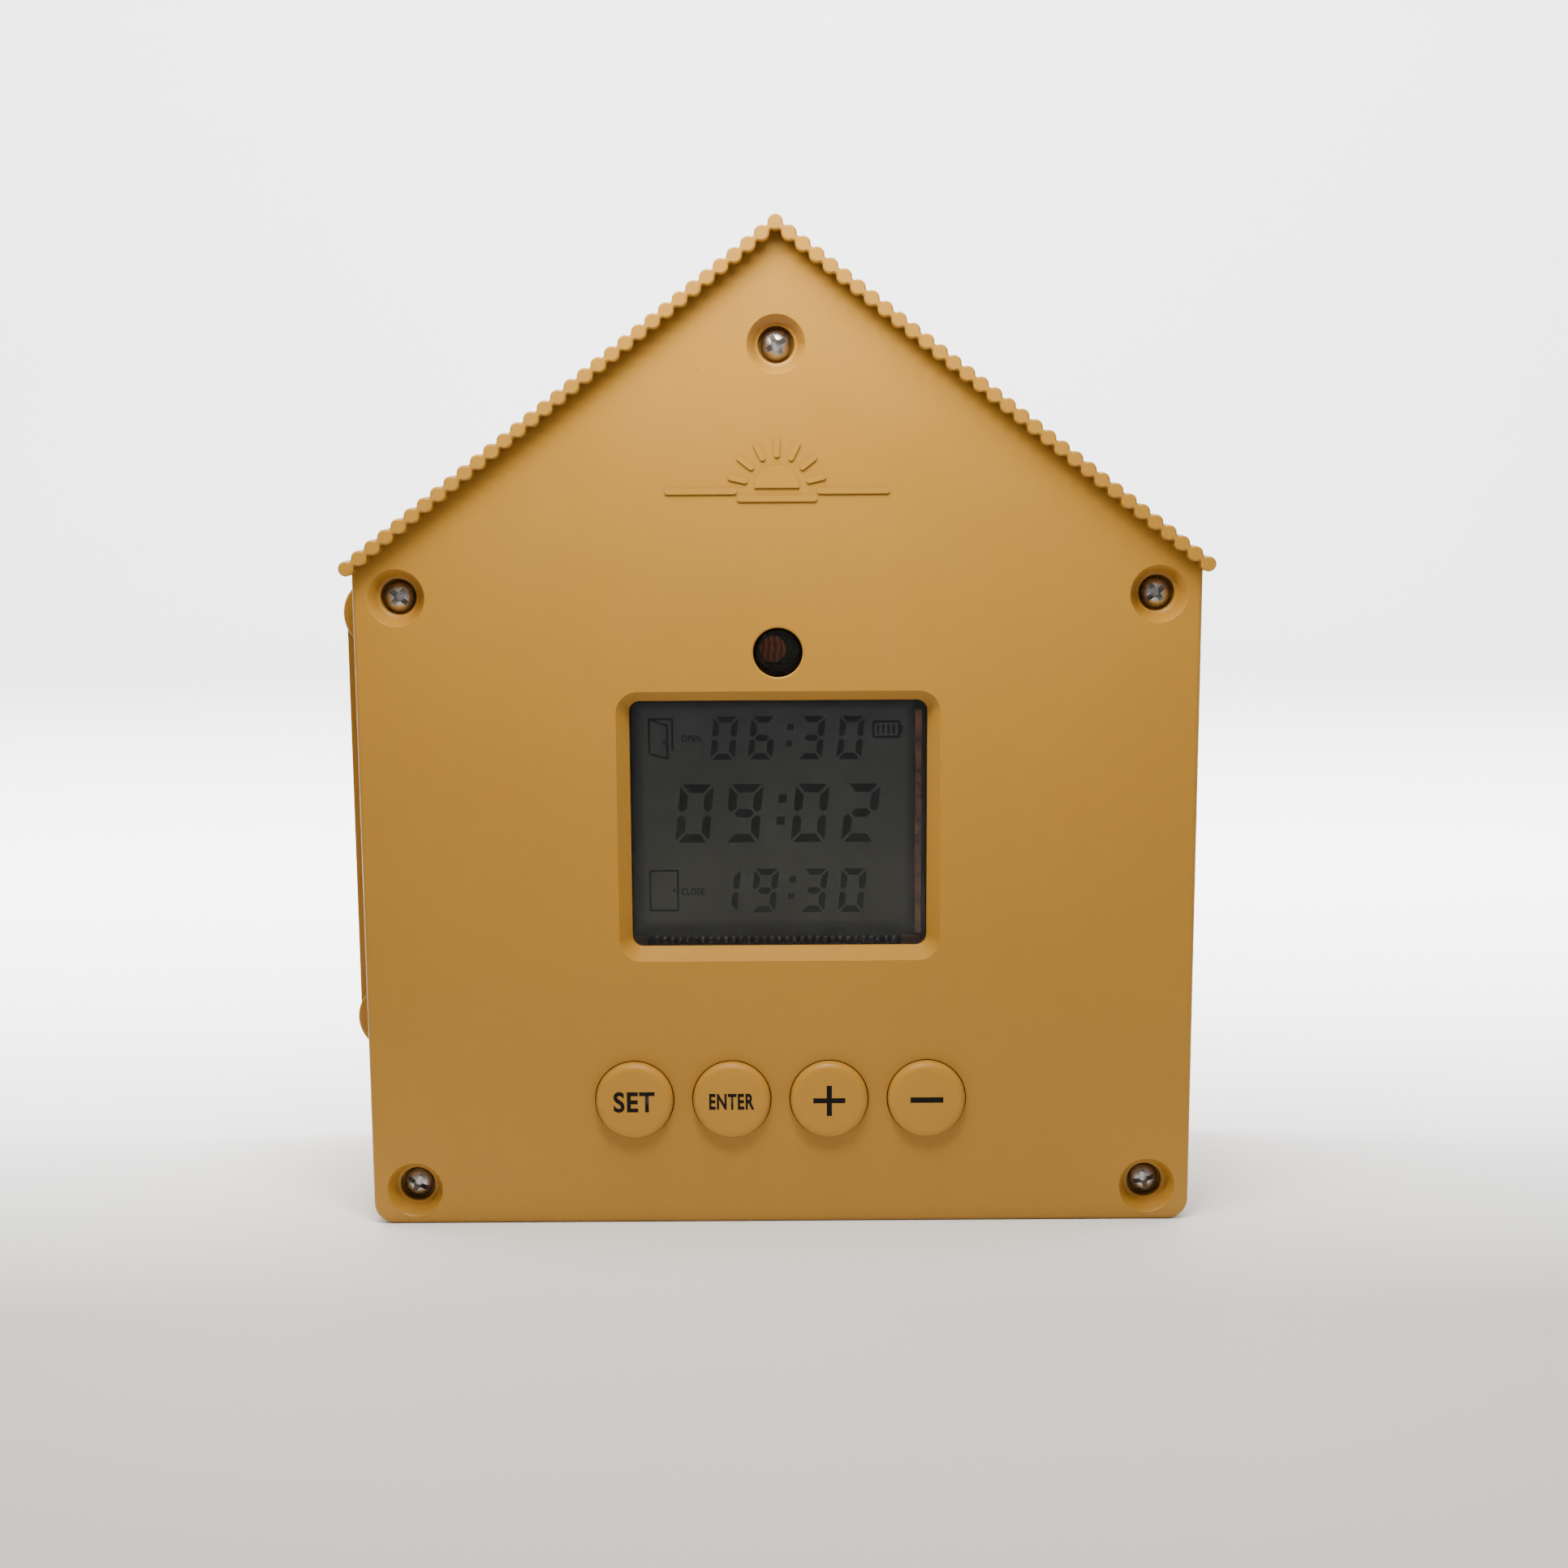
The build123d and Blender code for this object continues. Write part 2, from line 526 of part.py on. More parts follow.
def sensor_tube():
    """Dark sleeve that keeps stray light off the photocell."""
    profile = [
        (TUBE_BORE_R, TUBE_FRONT_Y),
        (TUBE_R, TUBE_FRONT_Y),
        (TUBE_R, BOARD_Y),
        (TUBE_BORE_R, BOARD_Y),
    ]
    return turned(profile, 0, SENSOR_Z)


def photocell():
    """Ceramic disc with two terminals and its leads."""
    y = FRONT_Y + CELL_D
    disc = rod(CELL_X, SENSOR_Z, CELL_R, y, y + CELL_T)
    for dx in (-CELL_LEAD_DX, CELL_LEAD_DX):
        disc += rod(CELL_X + dx, SENSOR_Z, 0.25, y + CELL_T, BOARD_BACK_Y + 1.2)
        disc += rod(CELL_X + dx, SENSOR_Z + 0.6, 0.55, y - 0.15, y)
    return disc


# ================================================================ buttons and board
def button_x(i):
    return (i - (len(BUTTONS) - 1) / 2) * BUTTON_PITCH


def button(i):
    """Round cap with a retaining flange behind the face, and a stem that meets the switch."""
    top = FRONT_Y - BUTTON_PROUD
    edge = top + BUTTON_CROWN
    flange = FACE_IN_Y + 0.05
    crown = ThreePointArc(
        (0, top), (BUTTON_R / 2, top + BUTTON_CROWN / 4), (BUTTON_R - BUTTON_EDGE_R, edge)
    )
    arc = ThreePointArc(
        (BUTTON_R - BUTTON_EDGE_R, edge),
        (BUTTON_R - BUTTON_EDGE_R * (1 - sin(pi / 4)), edge + BUTTON_EDGE_R * (1 - cos(pi / 4))),
        (BUTTON_R, edge + BUTTON_EDGE_R),
    )
    rest = Polyline(
        (BUTTON_R, edge + BUTTON_EDGE_R),
        (BUTTON_R, flange),
        (BUTTON_FLANGE_R, flange),
        (BUTTON_FLANGE_R, flange + BUTTON_FLANGE_T),
        (BUTTON_STEM_R, flange + BUTTON_FLANGE_T),
        (BUTTON_STEM_R, PLUNGER_TOP),
        (0, PLUNGER_TOP),
        (0, top),
    )
    face = make_face([*crown.edges(), *arc.edges(), *rest.edges()])
    return Pos(button_x(i), 0, BUTTON_Z) * revolve(face, Axis.Y)


def plunger(i):
    """Actuator of the switch behind one button. It moves with the button."""
    foot_y = BOARD_Y - SWITCH_H + SWITCH_BORE_D - PLUNGER_GAP
    return rod(button_x(i), BUTTON_Z, PLUNGER_R, PLUNGER_TOP, foot_y)


def tact_switches():
    bodies = []
    top, half = BOARD_Y - SWITCH_H, SWITCH_W / 2
    for i in range(len(BUTTONS)):
        x = button_x(i)
        body = block(x - half, x + half, top, BOARD_Y, BUTTON_Z - half, BUTTON_Z + half)
        bodies.append(body - rod(x, BUTTON_Z, PLUNGER_R + 0.1, top - 1, top + SWITCH_BORE_D))
    return group(bodies)


def main_board():
    board = block(-BOARD_W / 2, BOARD_W / 2, BOARD_Y, BOARD_BACK_Y, BOARD_LOW, BOARD_HIGH)
    for x, z in BOARD_SCREWS:
        board -= rod(x, z, 1.4, BOARD_Y - 1, BOARD_BACK_Y + 1)
    for dx in (-CELL_LEAD_DX, CELL_LEAD_DX):
        board -= rod(CELL_X + dx, SENSOR_Z, 0.35, BOARD_Y - 1, BOARD_BACK_Y + 1)
    x0, x1 = LCD_X - PIN_COUNT / 2 * PIN_PITCH, LCD_X + PIN_COUNT / 2 * PIN_PITCH
    return board - block(x0, x1, BOARD_Y - 1, BOARD_BACK_Y + 1, LCD_LOW - 0.5, LCD_LOW + 0.2)


def board_screws():
    """Screws driven from the board's back, so each is drawn facing the front and turned round."""
    screws = []
    for x, z in BOARD_SCREWS:
        screw = pan_screw(0, 0, 20, -BOARD_BACK_Y - 1.6, 2.2, 1.6, 1.1, 7.0, 1.4)
        screws.append(Pos(x, 0, z) * Rot(0, 0, 180) * screw)
    return group(screws)


def chip(x, z, w, h, t, legs, pitch):
    """Flat chip on the back of the board with a row of legs on its two long sides."""
    y = BOARD_BACK_Y
    body = block(x - w / 2, x + w / 2, y + 0.1, y + t, z - h / 2, z + h / 2)
    for i in range(legs):
        lx = x + (i - (legs - 1) / 2) * pitch
        for s in (-1, 1):
            z0, z1 = sorted((z + s * (h / 2 - 0.1), z + s * (h / 2 + 1.0)))
            body += block(lx - 0.2, lx + 0.2, y, y + 0.5, z0, z1)
    return body


def capacitor():
    top, bevel = BOARD_BACK_Y + CAP_L, 0.3
    profile = [
        (0, BOARD_BACK_Y),
        (CAP_R, BOARD_BACK_Y),
        (CAP_R, top - bevel),
        (CAP_R - 0.2, top),
        (0, top),
    ]
    return turned(profile, CAP_X, CAP_Z)


def plug_socket(x, z):
    """Two-way wire connector on the back of the board, open at the top."""
    y = BOARD_BACK_Y
    body = block(x - 4, x + 4, y, y + 5.5, z - 3, z + 3)
    body -= block(x - 3, x + 3, y + 1, y + 4.5, z - 2, z + 4)
    for dx in (-1.25, 1.25):
        body += block(x + dx - 0.3, x + dx + 0.3, y + 2.4, y + 3.0, z - 2.5, z + 2.2)
    return body


# ================================================================ battery bay
def cell_places():
    """Centre and direction of each battery: neighbours point opposite ways."""
    places = []
    for i, x in enumerate(CELL_XS):
        for j, y in enumerate(CELL_YS):
            places.append((x, y, 1 if (i + j) % 2 == 0 else -1))
    return places


def battery(place):
    x, y, way = place
    r, half = CELL_DIA / 2, CELL_LEN / 2
    face = make_face(
        Polyline(
            (0, -half + 0.4),
            (r - 2.5, -half + 0.4),
            (r - 2.2, -half),
            (r - 0.5, -half),
            (r, -half + 0.5),
            (r, half - 2.0),
            (r - 0.8, half - 1.2),
            (2.75, half - 1.2),
            (2.75, half),
            (0, half),
            close=True,
        )
    )
    cell = Rot(90, 0, 0) * revolve(face, Axis.Y)
    if way < 0:
        cell = Rot(180, 0, 0) * cell
    # The spring is at the flat end, so the cell stands nearer the other contact.
    middle = (BAY_LOW + BAY_HIGH) / 2 + way * (SPRING_H / 2)
    return Pos(x, y, middle) * cell


def contact_plates():
    """Spring-steel strips on the bay's floor and roof that join the cells in series."""
    half = CONTACT_HALF
    floor = (BAY_LOW, BAY_LOW + CONTACT_T)
    roof = (BAY_HIGH - CONTACT_T, BAY_HIGH)
    strips = []
    for x in CELL_XS:
        # on the floor a strip joins two cells in depth; on the roof a single end takes a lead
        strips.append(block(x - half, x + half, CELL_YS[0] - half, CELL_YS[1] + half, *floor))
        strips.append(block(x - half, x + half, CELL_YS[1] - half, CELL_YS[1] + half, *roof))
    x0, x1 = CELL_XS[0] - half, CELL_XS[1] + half
    strips.append(block(x0, x1, CELL_YS[0] - half, CELL_YS[0] + half, *roof))
    return group(strips)


def contact_springs():
    """Four conical springs, each at a cell's flat end."""
    springs = []
    gap = CONTACT_T + SPRING_WIRE_R
    height = SPRING_H - 3 * SPRING_WIRE_R
    for x, y, way in cell_places():
        path = Helix(pitch=height / SPRING_TURNS, height=height, radius=SPRING_R, cone_angle=-15)
        section = Plane(origin=path @ 0, z_dir=path % 0) * Circle(SPRING_WIRE_R)
        coil = sweep(section, path=path)
        if way < 0:
            coil = Rot(180, 0, 0) * coil
            springs.append(Pos(x, y, BAY_HIGH - gap) * coil)
        else:
            springs.append(Pos(x, y, BAY_LOW + gap) * coil)
    return group(springs)


def battery_door():
    """Side door: plate, hinge barrel at the foot and round grip at the head."""
    plate = block(DOOR_OUT, DOOR_IN, DOOR_FRONT, DOOR_BACK, HINGE_Z + 3, GRIP_Z)
    outside = block(-HALF_W - 20, DOOR_IN, BARREL_FRONT - 1, BARREL_BACK + 1, 0, EAVE_Z)
    grip = rod(HINGE_X, GRIP_Z, BARREL_R, BARREL_FRONT, BARREL_BACK)
    barrel = rod(HINGE_X, HINGE_Z, BARREL_R, BARREL_FRONT, BARREL_BACK)
    grip = fillet(grip.edges().filter_by(GeomType.CIRCLE), 0.5) & outside
    barrel = fillet(barrel.edges().filter_by(GeomType.CIRCLE), 0.5)
    door = plate + grip + barrel
    y0, y1 = DOOR_FRONT + 4.5, DOOR_BACK - 4.5
    door -= block(DOOR_OUT + 1.8, DOOR_IN + 1, y0, y1, BAY_LOW + 3, BAY_HIGH - 3)
    door -= rod(HINGE_X, HINGE_Z, HINGE_PIN_R + RUN_GAP, BARREL_FRONT - 1, BARREL_BACK + 1)
    return door


def battery_door_seal():
    """Flat rubber frame on the inside of the door."""
    width, height = DOOR_BACK - DOOR_FRONT - 1, BAY_HIGH - BAY_LOW + 5
    centre = ((DOOR_FRONT + DOOR_BACK) / 2, (BAY_LOW + BAY_HIGH) / 2)
    ring = Rectangle(width, height) - Rectangle(width - 5.5, height - 8)
    return prism_x(Pos(*centre) * ring, DOOR_IN, DOOR_IN + SEAL_T - 0.02)


def hinge_pin():
    return rod(HINGE_X, HINGE_Z, HINGE_PIN_R, PART_Y + 1.8, -1.0)


# ================================================================ cord winder
def involute(angle):
    return tan(angle) - angle


def gear_face(teeth, axis, turn):
    """Spur gear with involute flanks at (depth, height). One tooth's middle is at the angle turn."""
    pitch_r = MODULE * teeth / 2
    base_r, tip_r, root_r = pitch_r * cos(PRESSURE), pitch_r + MODULE * 0.95, pitch_r - MODULE * 1.25
    half = pi / (2 * teeth) - BACKLASH / (2 * pitch_r)
    low = max(base_r, root_r)
    steps = 4

    def half_angle(r):
        return half + involute(PRESSURE) - involute(acos(min(1.0, base_r / r)))

    radii = [low + (tip_r - low) * i / steps for i in range(steps + 1)]
    flank = [(r, half_angle(r)) for r in radii]
    if root_r < base_r:
        flank.insert(0, (root_r, half_angle(low)))
    points = []
    for tooth in range(teeth):
        middle = turn + 2 * pi * tooth / teeth
        for r, a in flank:
            points.append((axis[0] + r * cos(middle - a), axis[1] + r * sin(middle - a)))
        for r, a in reversed(flank):
            points.append((axis[0] + r * cos(middle + a), axis[1] + r * sin(middle + a)))
    return make_face(Polyline(*points, close=True))


def direction(start, end):
    return atan2(end[1] - start[1], end[0] - start[0])


def meshing_big(axis, other, layer):
    """Large wheel with a gap facing the pinion at other."""
    return prism_x(gear_face(BIG_T, axis, direction(axis, other) + pi / BIG_T), *LAYERS[layer])


def meshing_small(axis, other, x0, x1):
    """Pinion with a tooth facing the wheel at other."""
    return prism_x(gear_face(SMALL_T, axis, direction(axis, other)), x0, x1)


def lightened(wheel, axis, layer, count=5):
    """Takes a ring of round holes out of a large wheel."""
    ring_r, hole_r = 8.3, 1.7
    for k in range(count):
        a = 2 * pi * k / count
        spot = (axis[0] + ring_r * cos(a), axis[1] + ring_r * sin(a))
        wheel -= rod_x(spot, hole_r, LAYERS[layer][0] - 1, LAYERS[layer][1] + 1)
    return wheel


def output_gear():
    wheel = lightened(meshing_big(OUT_AXIS, B_AXIS, 0), OUT_AXIS, 0)
    return wheel - rod_x(OUT_AXIS, SHAFT_R + FIT, 0, 40)


def gear_b():
    wheel = lightened(meshing_big(B_AXIS, A_AXIS, 1), B_AXIS, 1)
    wheel += meshing_small(B_AXIS, OUT_AXIS, LAYERS[0][0], LAYERS[1][0])
    return wheel - rod_x(B_AXIS, ARBOR_R + RUN_GAP, 0, 40)


def gear_a():
    wheel = lightened(meshing_big(A_AXIS, MOTOR_AXIS, 2), A_AXIS, 2)
    wheel += meshing_small(A_AXIS, B_AXIS, LAYERS[1][0], LAYERS[2][0])
    return wheel - rod_x(A_AXIS, ARBOR_R + RUN_GAP, 0, 40)


def motor_pinion():
    pinion = meshing_small(MOTOR_AXIS, A_AXIS, LAYERS[2][0] + 0.2, LAYERS[2][1] + 0.2)
    return pinion - rod_x(MOTOR_AXIS, MOTOR_SHAFT_R + FIT, 0, 40)


def arbor(axis):
    return rod_x(axis, ARBOR_R, PLATE_LEFT, PLATE_RIGHT + PLATE_T)


def output_shaft():
    shaft = rod_x(OUT_AXIS, SHAFT_R, -9.0, PLATE_RIGHT + PLATE_T + 0.6)
    flat = block(-9.5, 7.2, OUT_Y - 3, OUT_Y + 3, OUT_Z + SHAFT_R - 0.5, OUT_Z + SHAFT_R + 1)
    return shaft - flat


def bush(x0, x1, way):
    """Flanged bearing bush for the output shaft in one plate."""
    start = x1 if way > 0 else x0 - BUSH_FLANGE_T
    flange = rod_x(OUT_AXIS, BUSH_FLANGE_R, start, start + BUSH_FLANGE_T)
    return rod_x(OUT_AXIS, BUSH_R, x0, x1) + flange - rod_x(OUT_AXIS, SHAFT_R + RUN_GAP, x0 - 1, x1 + 1)


def spool():
    """Cord drum with two flanges, clamped on the shaft by a set screw in its collar."""
    body = rod_x(OUT_AXIS, DRUM_R, -DRUM_HALF, DRUM_HALF)
    for s in (-1, 1):
        x0, x1 = sorted((s * DRUM_HALF, s * (DRUM_HALF + FLANGE_T)))
        body += rod_x(OUT_AXIS, FLANGE_R, x0, x1)
    body -= rod_x(OUT_AXIS, SHAFT_R + FIT, -10, 10)
    body -= rod_z(2.5, OUT_Y, 1.25, OUT_Z + SHAFT_R - 1, OUT_Z + DRUM_R + 1)
    cord_hole = Pos(-2.5, OUT_Y, OUT_Z) * Rot(90, 0, 0) * Pos(0, 0, DRUM_R - 1.5) * Cylinder(0.9, 8)
    return body - cord_hole


def spool_set_screw():
    """Headless screw that presses on the shaft's flat."""
    low = OUT_Z + SHAFT_R - 0.5 + FIT
    screw = rod_z(2.5, OUT_Y, 1.2, low, low + 4.0)
    socket = extrude(Plane(origin=(2.5, OUT_Y, low + 2.6)) * RegularPolygon(0.75, 6), 2)
    return screw - socket


def foot(x0, x1, z):
    """Bent lug at the back edge of a plate."""
    return block(x0, x1, PLATE_BACK - FOOT_T, PLATE_BACK, z - 5, z + 5)


def winder_plate(x0):
    outline = RectangleRounded(PLATE_BACK - PLATE_FRONT, PLATE_H, PLATE_R)
    plate = prism_x(Pos((PLATE_FRONT + PLATE_BACK) / 2, PLATE_MID_Z) * outline, x0, x0 + PLATE_T)
    for axis in (A_AXIS, B_AXIS):
        plate -= rod_x(axis, ARBOR_R + 0.01, x0 - 1, x0 + PLATE_T + 1)
    plate -= rod_x(OUT_AXIS, BUSH_R + FIT, x0 - 1, x0 + PLATE_T + 1)
    for spot in SPACERS:
        plate -= rod_x(spot, RIVET_HOLE_R, x0 - 1, x0 + PLATE_T + 1)
    return plate


def plate_left():
    plate = winder_plate(PLATE_LEFT)
    x, z = FEET[2]
    hole = rod(x, z, FOOT_HOLE_R, PLATE_BACK - FOOT_T - 1, PLATE_BACK + 1)
    return plate + foot(x - 4, PLATE_LEFT, z) - hole


def plate_right():
    plate = winder_plate(PLATE_RIGHT)
    for x, z in FEET[:2]:
        plate += foot(MOTOR_X0, x + 5, z)
        plate -= rod(x, z, FOOT_HOLE_R, PLATE_BACK - FOOT_T - 1, PLATE_BACK + 1)
    plate -= rod_x(MOTOR_AXIS, 3.1, PLATE_RIGHT - 1, PLATE_RIGHT + PLATE_T + 1)
    for spot in MOTOR_SCREWS:
        plate -= rod_x(spot, MOTOR_SCREW_R + 0.1, PLATE_RIGHT - 1, PLATE_RIGHT + PLATE_T + 1)
    return plate


def spacers():
    """Four posts that hold the plates apart, each riveted over at both ends."""
    posts = []
    for spot in SPACERS:
        post = rod_x(spot, SPACER_R, PLATE_LEFT + PLATE_T, PLATE_RIGHT)
        post += rod_x(spot, RIVET_R, PLATE_LEFT, PLATE_RIGHT + PLATE_T)
        posts.append(post)
    return group(posts)


def feet_screws():
    top = PLATE_BACK - FOOT_T - FOOT_HEAD_H
    return group(pan_screw(x, z, 10, top, 2.6, FOOT_HEAD_H, 1.25, 5.5, 1.6) for x, z in FEET)


def motor_can():
    can = rod_x(MOTOR_AXIS, MOTOR_R, MOTOR_X0, MOTOR_X0 + MOTOR_L - MOTOR_CAP_T)
    can = fillet(can.edges().filter_by(GeomType.CIRCLE).sort_by(Axis.X)[0], 1.2)
    can += rod_x(MOTOR_AXIS, 3.0, PLATE_RIGHT + 0.3, MOTOR_X0)
    can -= rod_x(MOTOR_AXIS, MOTOR_SHAFT_R + RUN_GAP, PLATE_RIGHT - 1, MOTOR_X0 + 6)
    for spot in MOTOR_SCREWS:
        can -= rod_x(spot, MOTOR_SCREW_R + RUN_GAP, MOTOR_X0 - 1, MOTOR_X0 + 3)
    return can


def motor_end_cap():
    x0 = MOTOR_X0 + MOTOR_L - MOTOR_CAP_T
    cap = rod_x(MOTOR_AXIS, MOTOR_R - 0.8, x0, x0 + 2.2)
    return cap + rod_x(MOTOR_AXIS, 4.0, x0 + 2.2, x0 + 4.0)


def motor_terminals():
    x0 = MOTOR_X0 + MOTOR_L - 0.8
    tabs = []
    for s in (-1, 1):
        y = MOTOR_AXIS[0] + s * 7.5
        tab = block(x0, x0 + 4.0, y - 0.25, y + 0.25, MOTOR_AXIS[1] - 1.4, MOTOR_AXIS[1] + 1.4)
        tabs.append(tab)
    return group(tabs)


def motor_shaft():
    return rod_x(MOTOR_AXIS, MOTOR_SHAFT_R, LAYERS[2][0], MOTOR_X0 + 5.5)


def motor_screws():
    """Two low screws through the plate into the motor's face."""
    screws = []
    for spot in MOTOR_SCREWS:
        head = rod_x(spot, 2.0, PLATE_RIGHT - 1.0, PLATE_RIGHT)
        slot = prism_x(Pos(*spot) * Rectangle(3.0, 0.5), PLATE_RIGHT - 1.5, PLATE_RIGHT - 0.5)
        screws.append(head + rod_x(spot, MOTOR_SCREW_R, PLATE_RIGHT, MOTOR_X0 + 2.5) - slot)
    return group(screws)


def cord_eyelet():
    """Smooth bush through the base for the lifting cord."""
    y = CORD_Y
    body = rod_z(0, y, EYELET_OUT_R, 0.3, 4.2) + rod_z(0, y, EYELET_FLANGE_R, 0.3, 1.4)
    return body - rod_z(0, y, EYELET_R, -1, 5)


def eyelet_clip():
    """Push-on ring that holds the eyelet from inside."""
    return rod_z(0, CORD_Y, 6.2, WALL, WALL + 1.0) - rod_z(0, CORD_Y, EYELET_OUT_R + FIT, 0, 5)


def tube(points, radius, bend):
    """Round tube along straight runs joined by arcs."""
    path = FilletPolyline(*points, radius=bend)
    section = Plane(origin=path @ 0, z_dir=path % 0) * Circle(radius)
    return sweep(section, path=path)


def battery_leads():
    """Two leads from the battery bay's wall to their connector on the board."""
    leads = []
    for side in (-1, 1):
        end = (BATTERY_SOCKET[0] + side * WIRE_DX, WIRE_Y, BATTERY_SOCKET[1] + 2.4)
        start = (BAY_X + BAY_WALL, -16.0, 62.0 + side * 1.5)
        route = [start, (end[0], -16.0, start[2]), (end[0], WIRE_Y, start[2]), end]
        leads.append(tube(route, WIRE_R, WIRE_BEND))
    return group(leads)


def motor_leads():
    """Two leads from the motor's terminals over the winder to their connector on the board."""
    leads = []
    for side in (-1, 1):
        start = (MOTOR_X0 + MOTOR_L + 1.2, MOTOR_AXIS[0] + side * 7.5, MOTOR_AXIS[1] + 1.4)
        high = 98.5 + side * 1.5
        end = (MOTOR_SOCKET[0] - side * WIRE_DX, WIRE_Y, MOTOR_SOCKET[1] + 2.4)
        route = [start, (start[0], start[1], high), (end[0], WIRE_Y, high), end]
        leads.append(tube(route, WIRE_R, WIRE_BEND))
    return group(leads)


# ================================================================ all parts
def all_parts():
    parts = {
        "front_cover": front_cover(),
        "rear_housing": rear_housing(),
        "cover_gasket": cover_gasket(),
        "cover_screws": cover_screws(),
        "display_window": display_window(),
        "lcd_glass": lcd_glass(),
        "lcd_pins": lcd_pins(),
        "lcd_frame": lcd_frame(),
        "sensor_lens": sensor_lens(),
        "sensor_tube": sensor_tube(),
        "photocell": photocell(),
        "tact_switches": tact_switches(),
        "main_board": main_board(),
        "board_screws": board_screws(),
        "microcontroller": chip(-14, 40, 12, 9, 1.6, 10, 1.1),
        "motor_driver": chip(16, 38, 8, 4, 1.5, 6, 1.2),
        "capacitor": capacitor(),
        "battery_socket": plug_socket(*BATTERY_SOCKET),
        "motor_socket": plug_socket(*MOTOR_SOCKET),
        "battery_leads": battery_leads(),
        "motor_leads": motor_leads(),
        "battery_door": battery_door(),
        "battery_door_seal": battery_door_seal(),
        "hinge_pin": hinge_pin(),
        "contact_plates": contact_plates(),
        "contact_springs": contact_springs(),
        "output_gear": output_gear(),
        "gear_b": gear_b(),
        "gear_a": gear_a(),
        "motor_pinion": motor_pinion(),
        "arbor_a": arbor(A_AXIS),
        "arbor_b": arbor(B_AXIS),
        "output_shaft": output_shaft(),
        "bush_left": bush(PLATE_LEFT, PLATE_LEFT + PLATE_T, 1),
        "bush_right": bush(PLATE_RIGHT, PLATE_RIGHT + PLATE_T, -1),
        "spool": spool(),
        "spool_set_screw": spool_set_screw(),
        "winder_plate_left": plate_left(),
        "winder_plate_right": plate_right(),
        "winder_spacers": spacers(),
        "winder_screws": feet_screws(),
        "motor_can": motor_can(),
        "motor_end_cap": motor_end_cap(),
        "motor_terminals": motor_terminals(),
        "motor_shaft": motor_shaft(),
        "motor_screws": motor_screws(),
        "cord_eyelet": cord_eyelet(),
        "eyelet_clip": eyelet_clip(),
    }
    for i, name in enumerate(BUTTONS):
        parts[f"{name}_button"] = button(i)
        parts[f"{name}_plunger"] = plunger(i)
    for i, place in enumerate(cell_places()):
        parts[f"battery_{i + 1}"] = battery(place)
    return parts


os.makedirs("parts", exist_ok=True)
for name, shape in all_parts().items():
    export_step(Pos(-FIXING_X, 0, -FIXING_Z) * shape, f"parts/{name}.step")
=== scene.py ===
"""Looks of the coop door's control unit: ochre casing, display, printed buttons, metal and rubber."""

import math
import random

import bmesh
import bpy
from mathutils import Matrix, Vector


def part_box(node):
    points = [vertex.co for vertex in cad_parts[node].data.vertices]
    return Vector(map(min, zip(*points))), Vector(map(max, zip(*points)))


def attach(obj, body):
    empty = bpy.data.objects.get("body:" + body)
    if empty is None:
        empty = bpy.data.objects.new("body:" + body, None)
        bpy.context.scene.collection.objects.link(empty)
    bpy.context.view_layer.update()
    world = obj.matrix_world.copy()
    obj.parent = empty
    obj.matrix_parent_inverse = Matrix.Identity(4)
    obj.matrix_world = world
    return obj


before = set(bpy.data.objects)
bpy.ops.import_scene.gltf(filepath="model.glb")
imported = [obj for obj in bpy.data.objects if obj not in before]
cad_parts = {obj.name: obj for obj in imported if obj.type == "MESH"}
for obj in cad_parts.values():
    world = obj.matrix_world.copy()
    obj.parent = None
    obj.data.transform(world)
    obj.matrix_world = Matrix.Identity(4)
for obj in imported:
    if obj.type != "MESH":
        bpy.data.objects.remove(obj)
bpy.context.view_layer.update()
random.seed(7)

MM = 0.001


# ================================================================ places read from the frame
def low(node):
    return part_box(node)[0]


def high(node):
    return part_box(node)[1]


def middle(node):
    return (low(node) + high(node)) / 2


COVER_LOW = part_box("front_cover")[0]
BASE_Z = COVER_LOW.z
ROOF_FRONT = COVER_LOW.y
GLASS_FRONT = low("lcd_glass").y
GLASS = middle("lcd_glass")


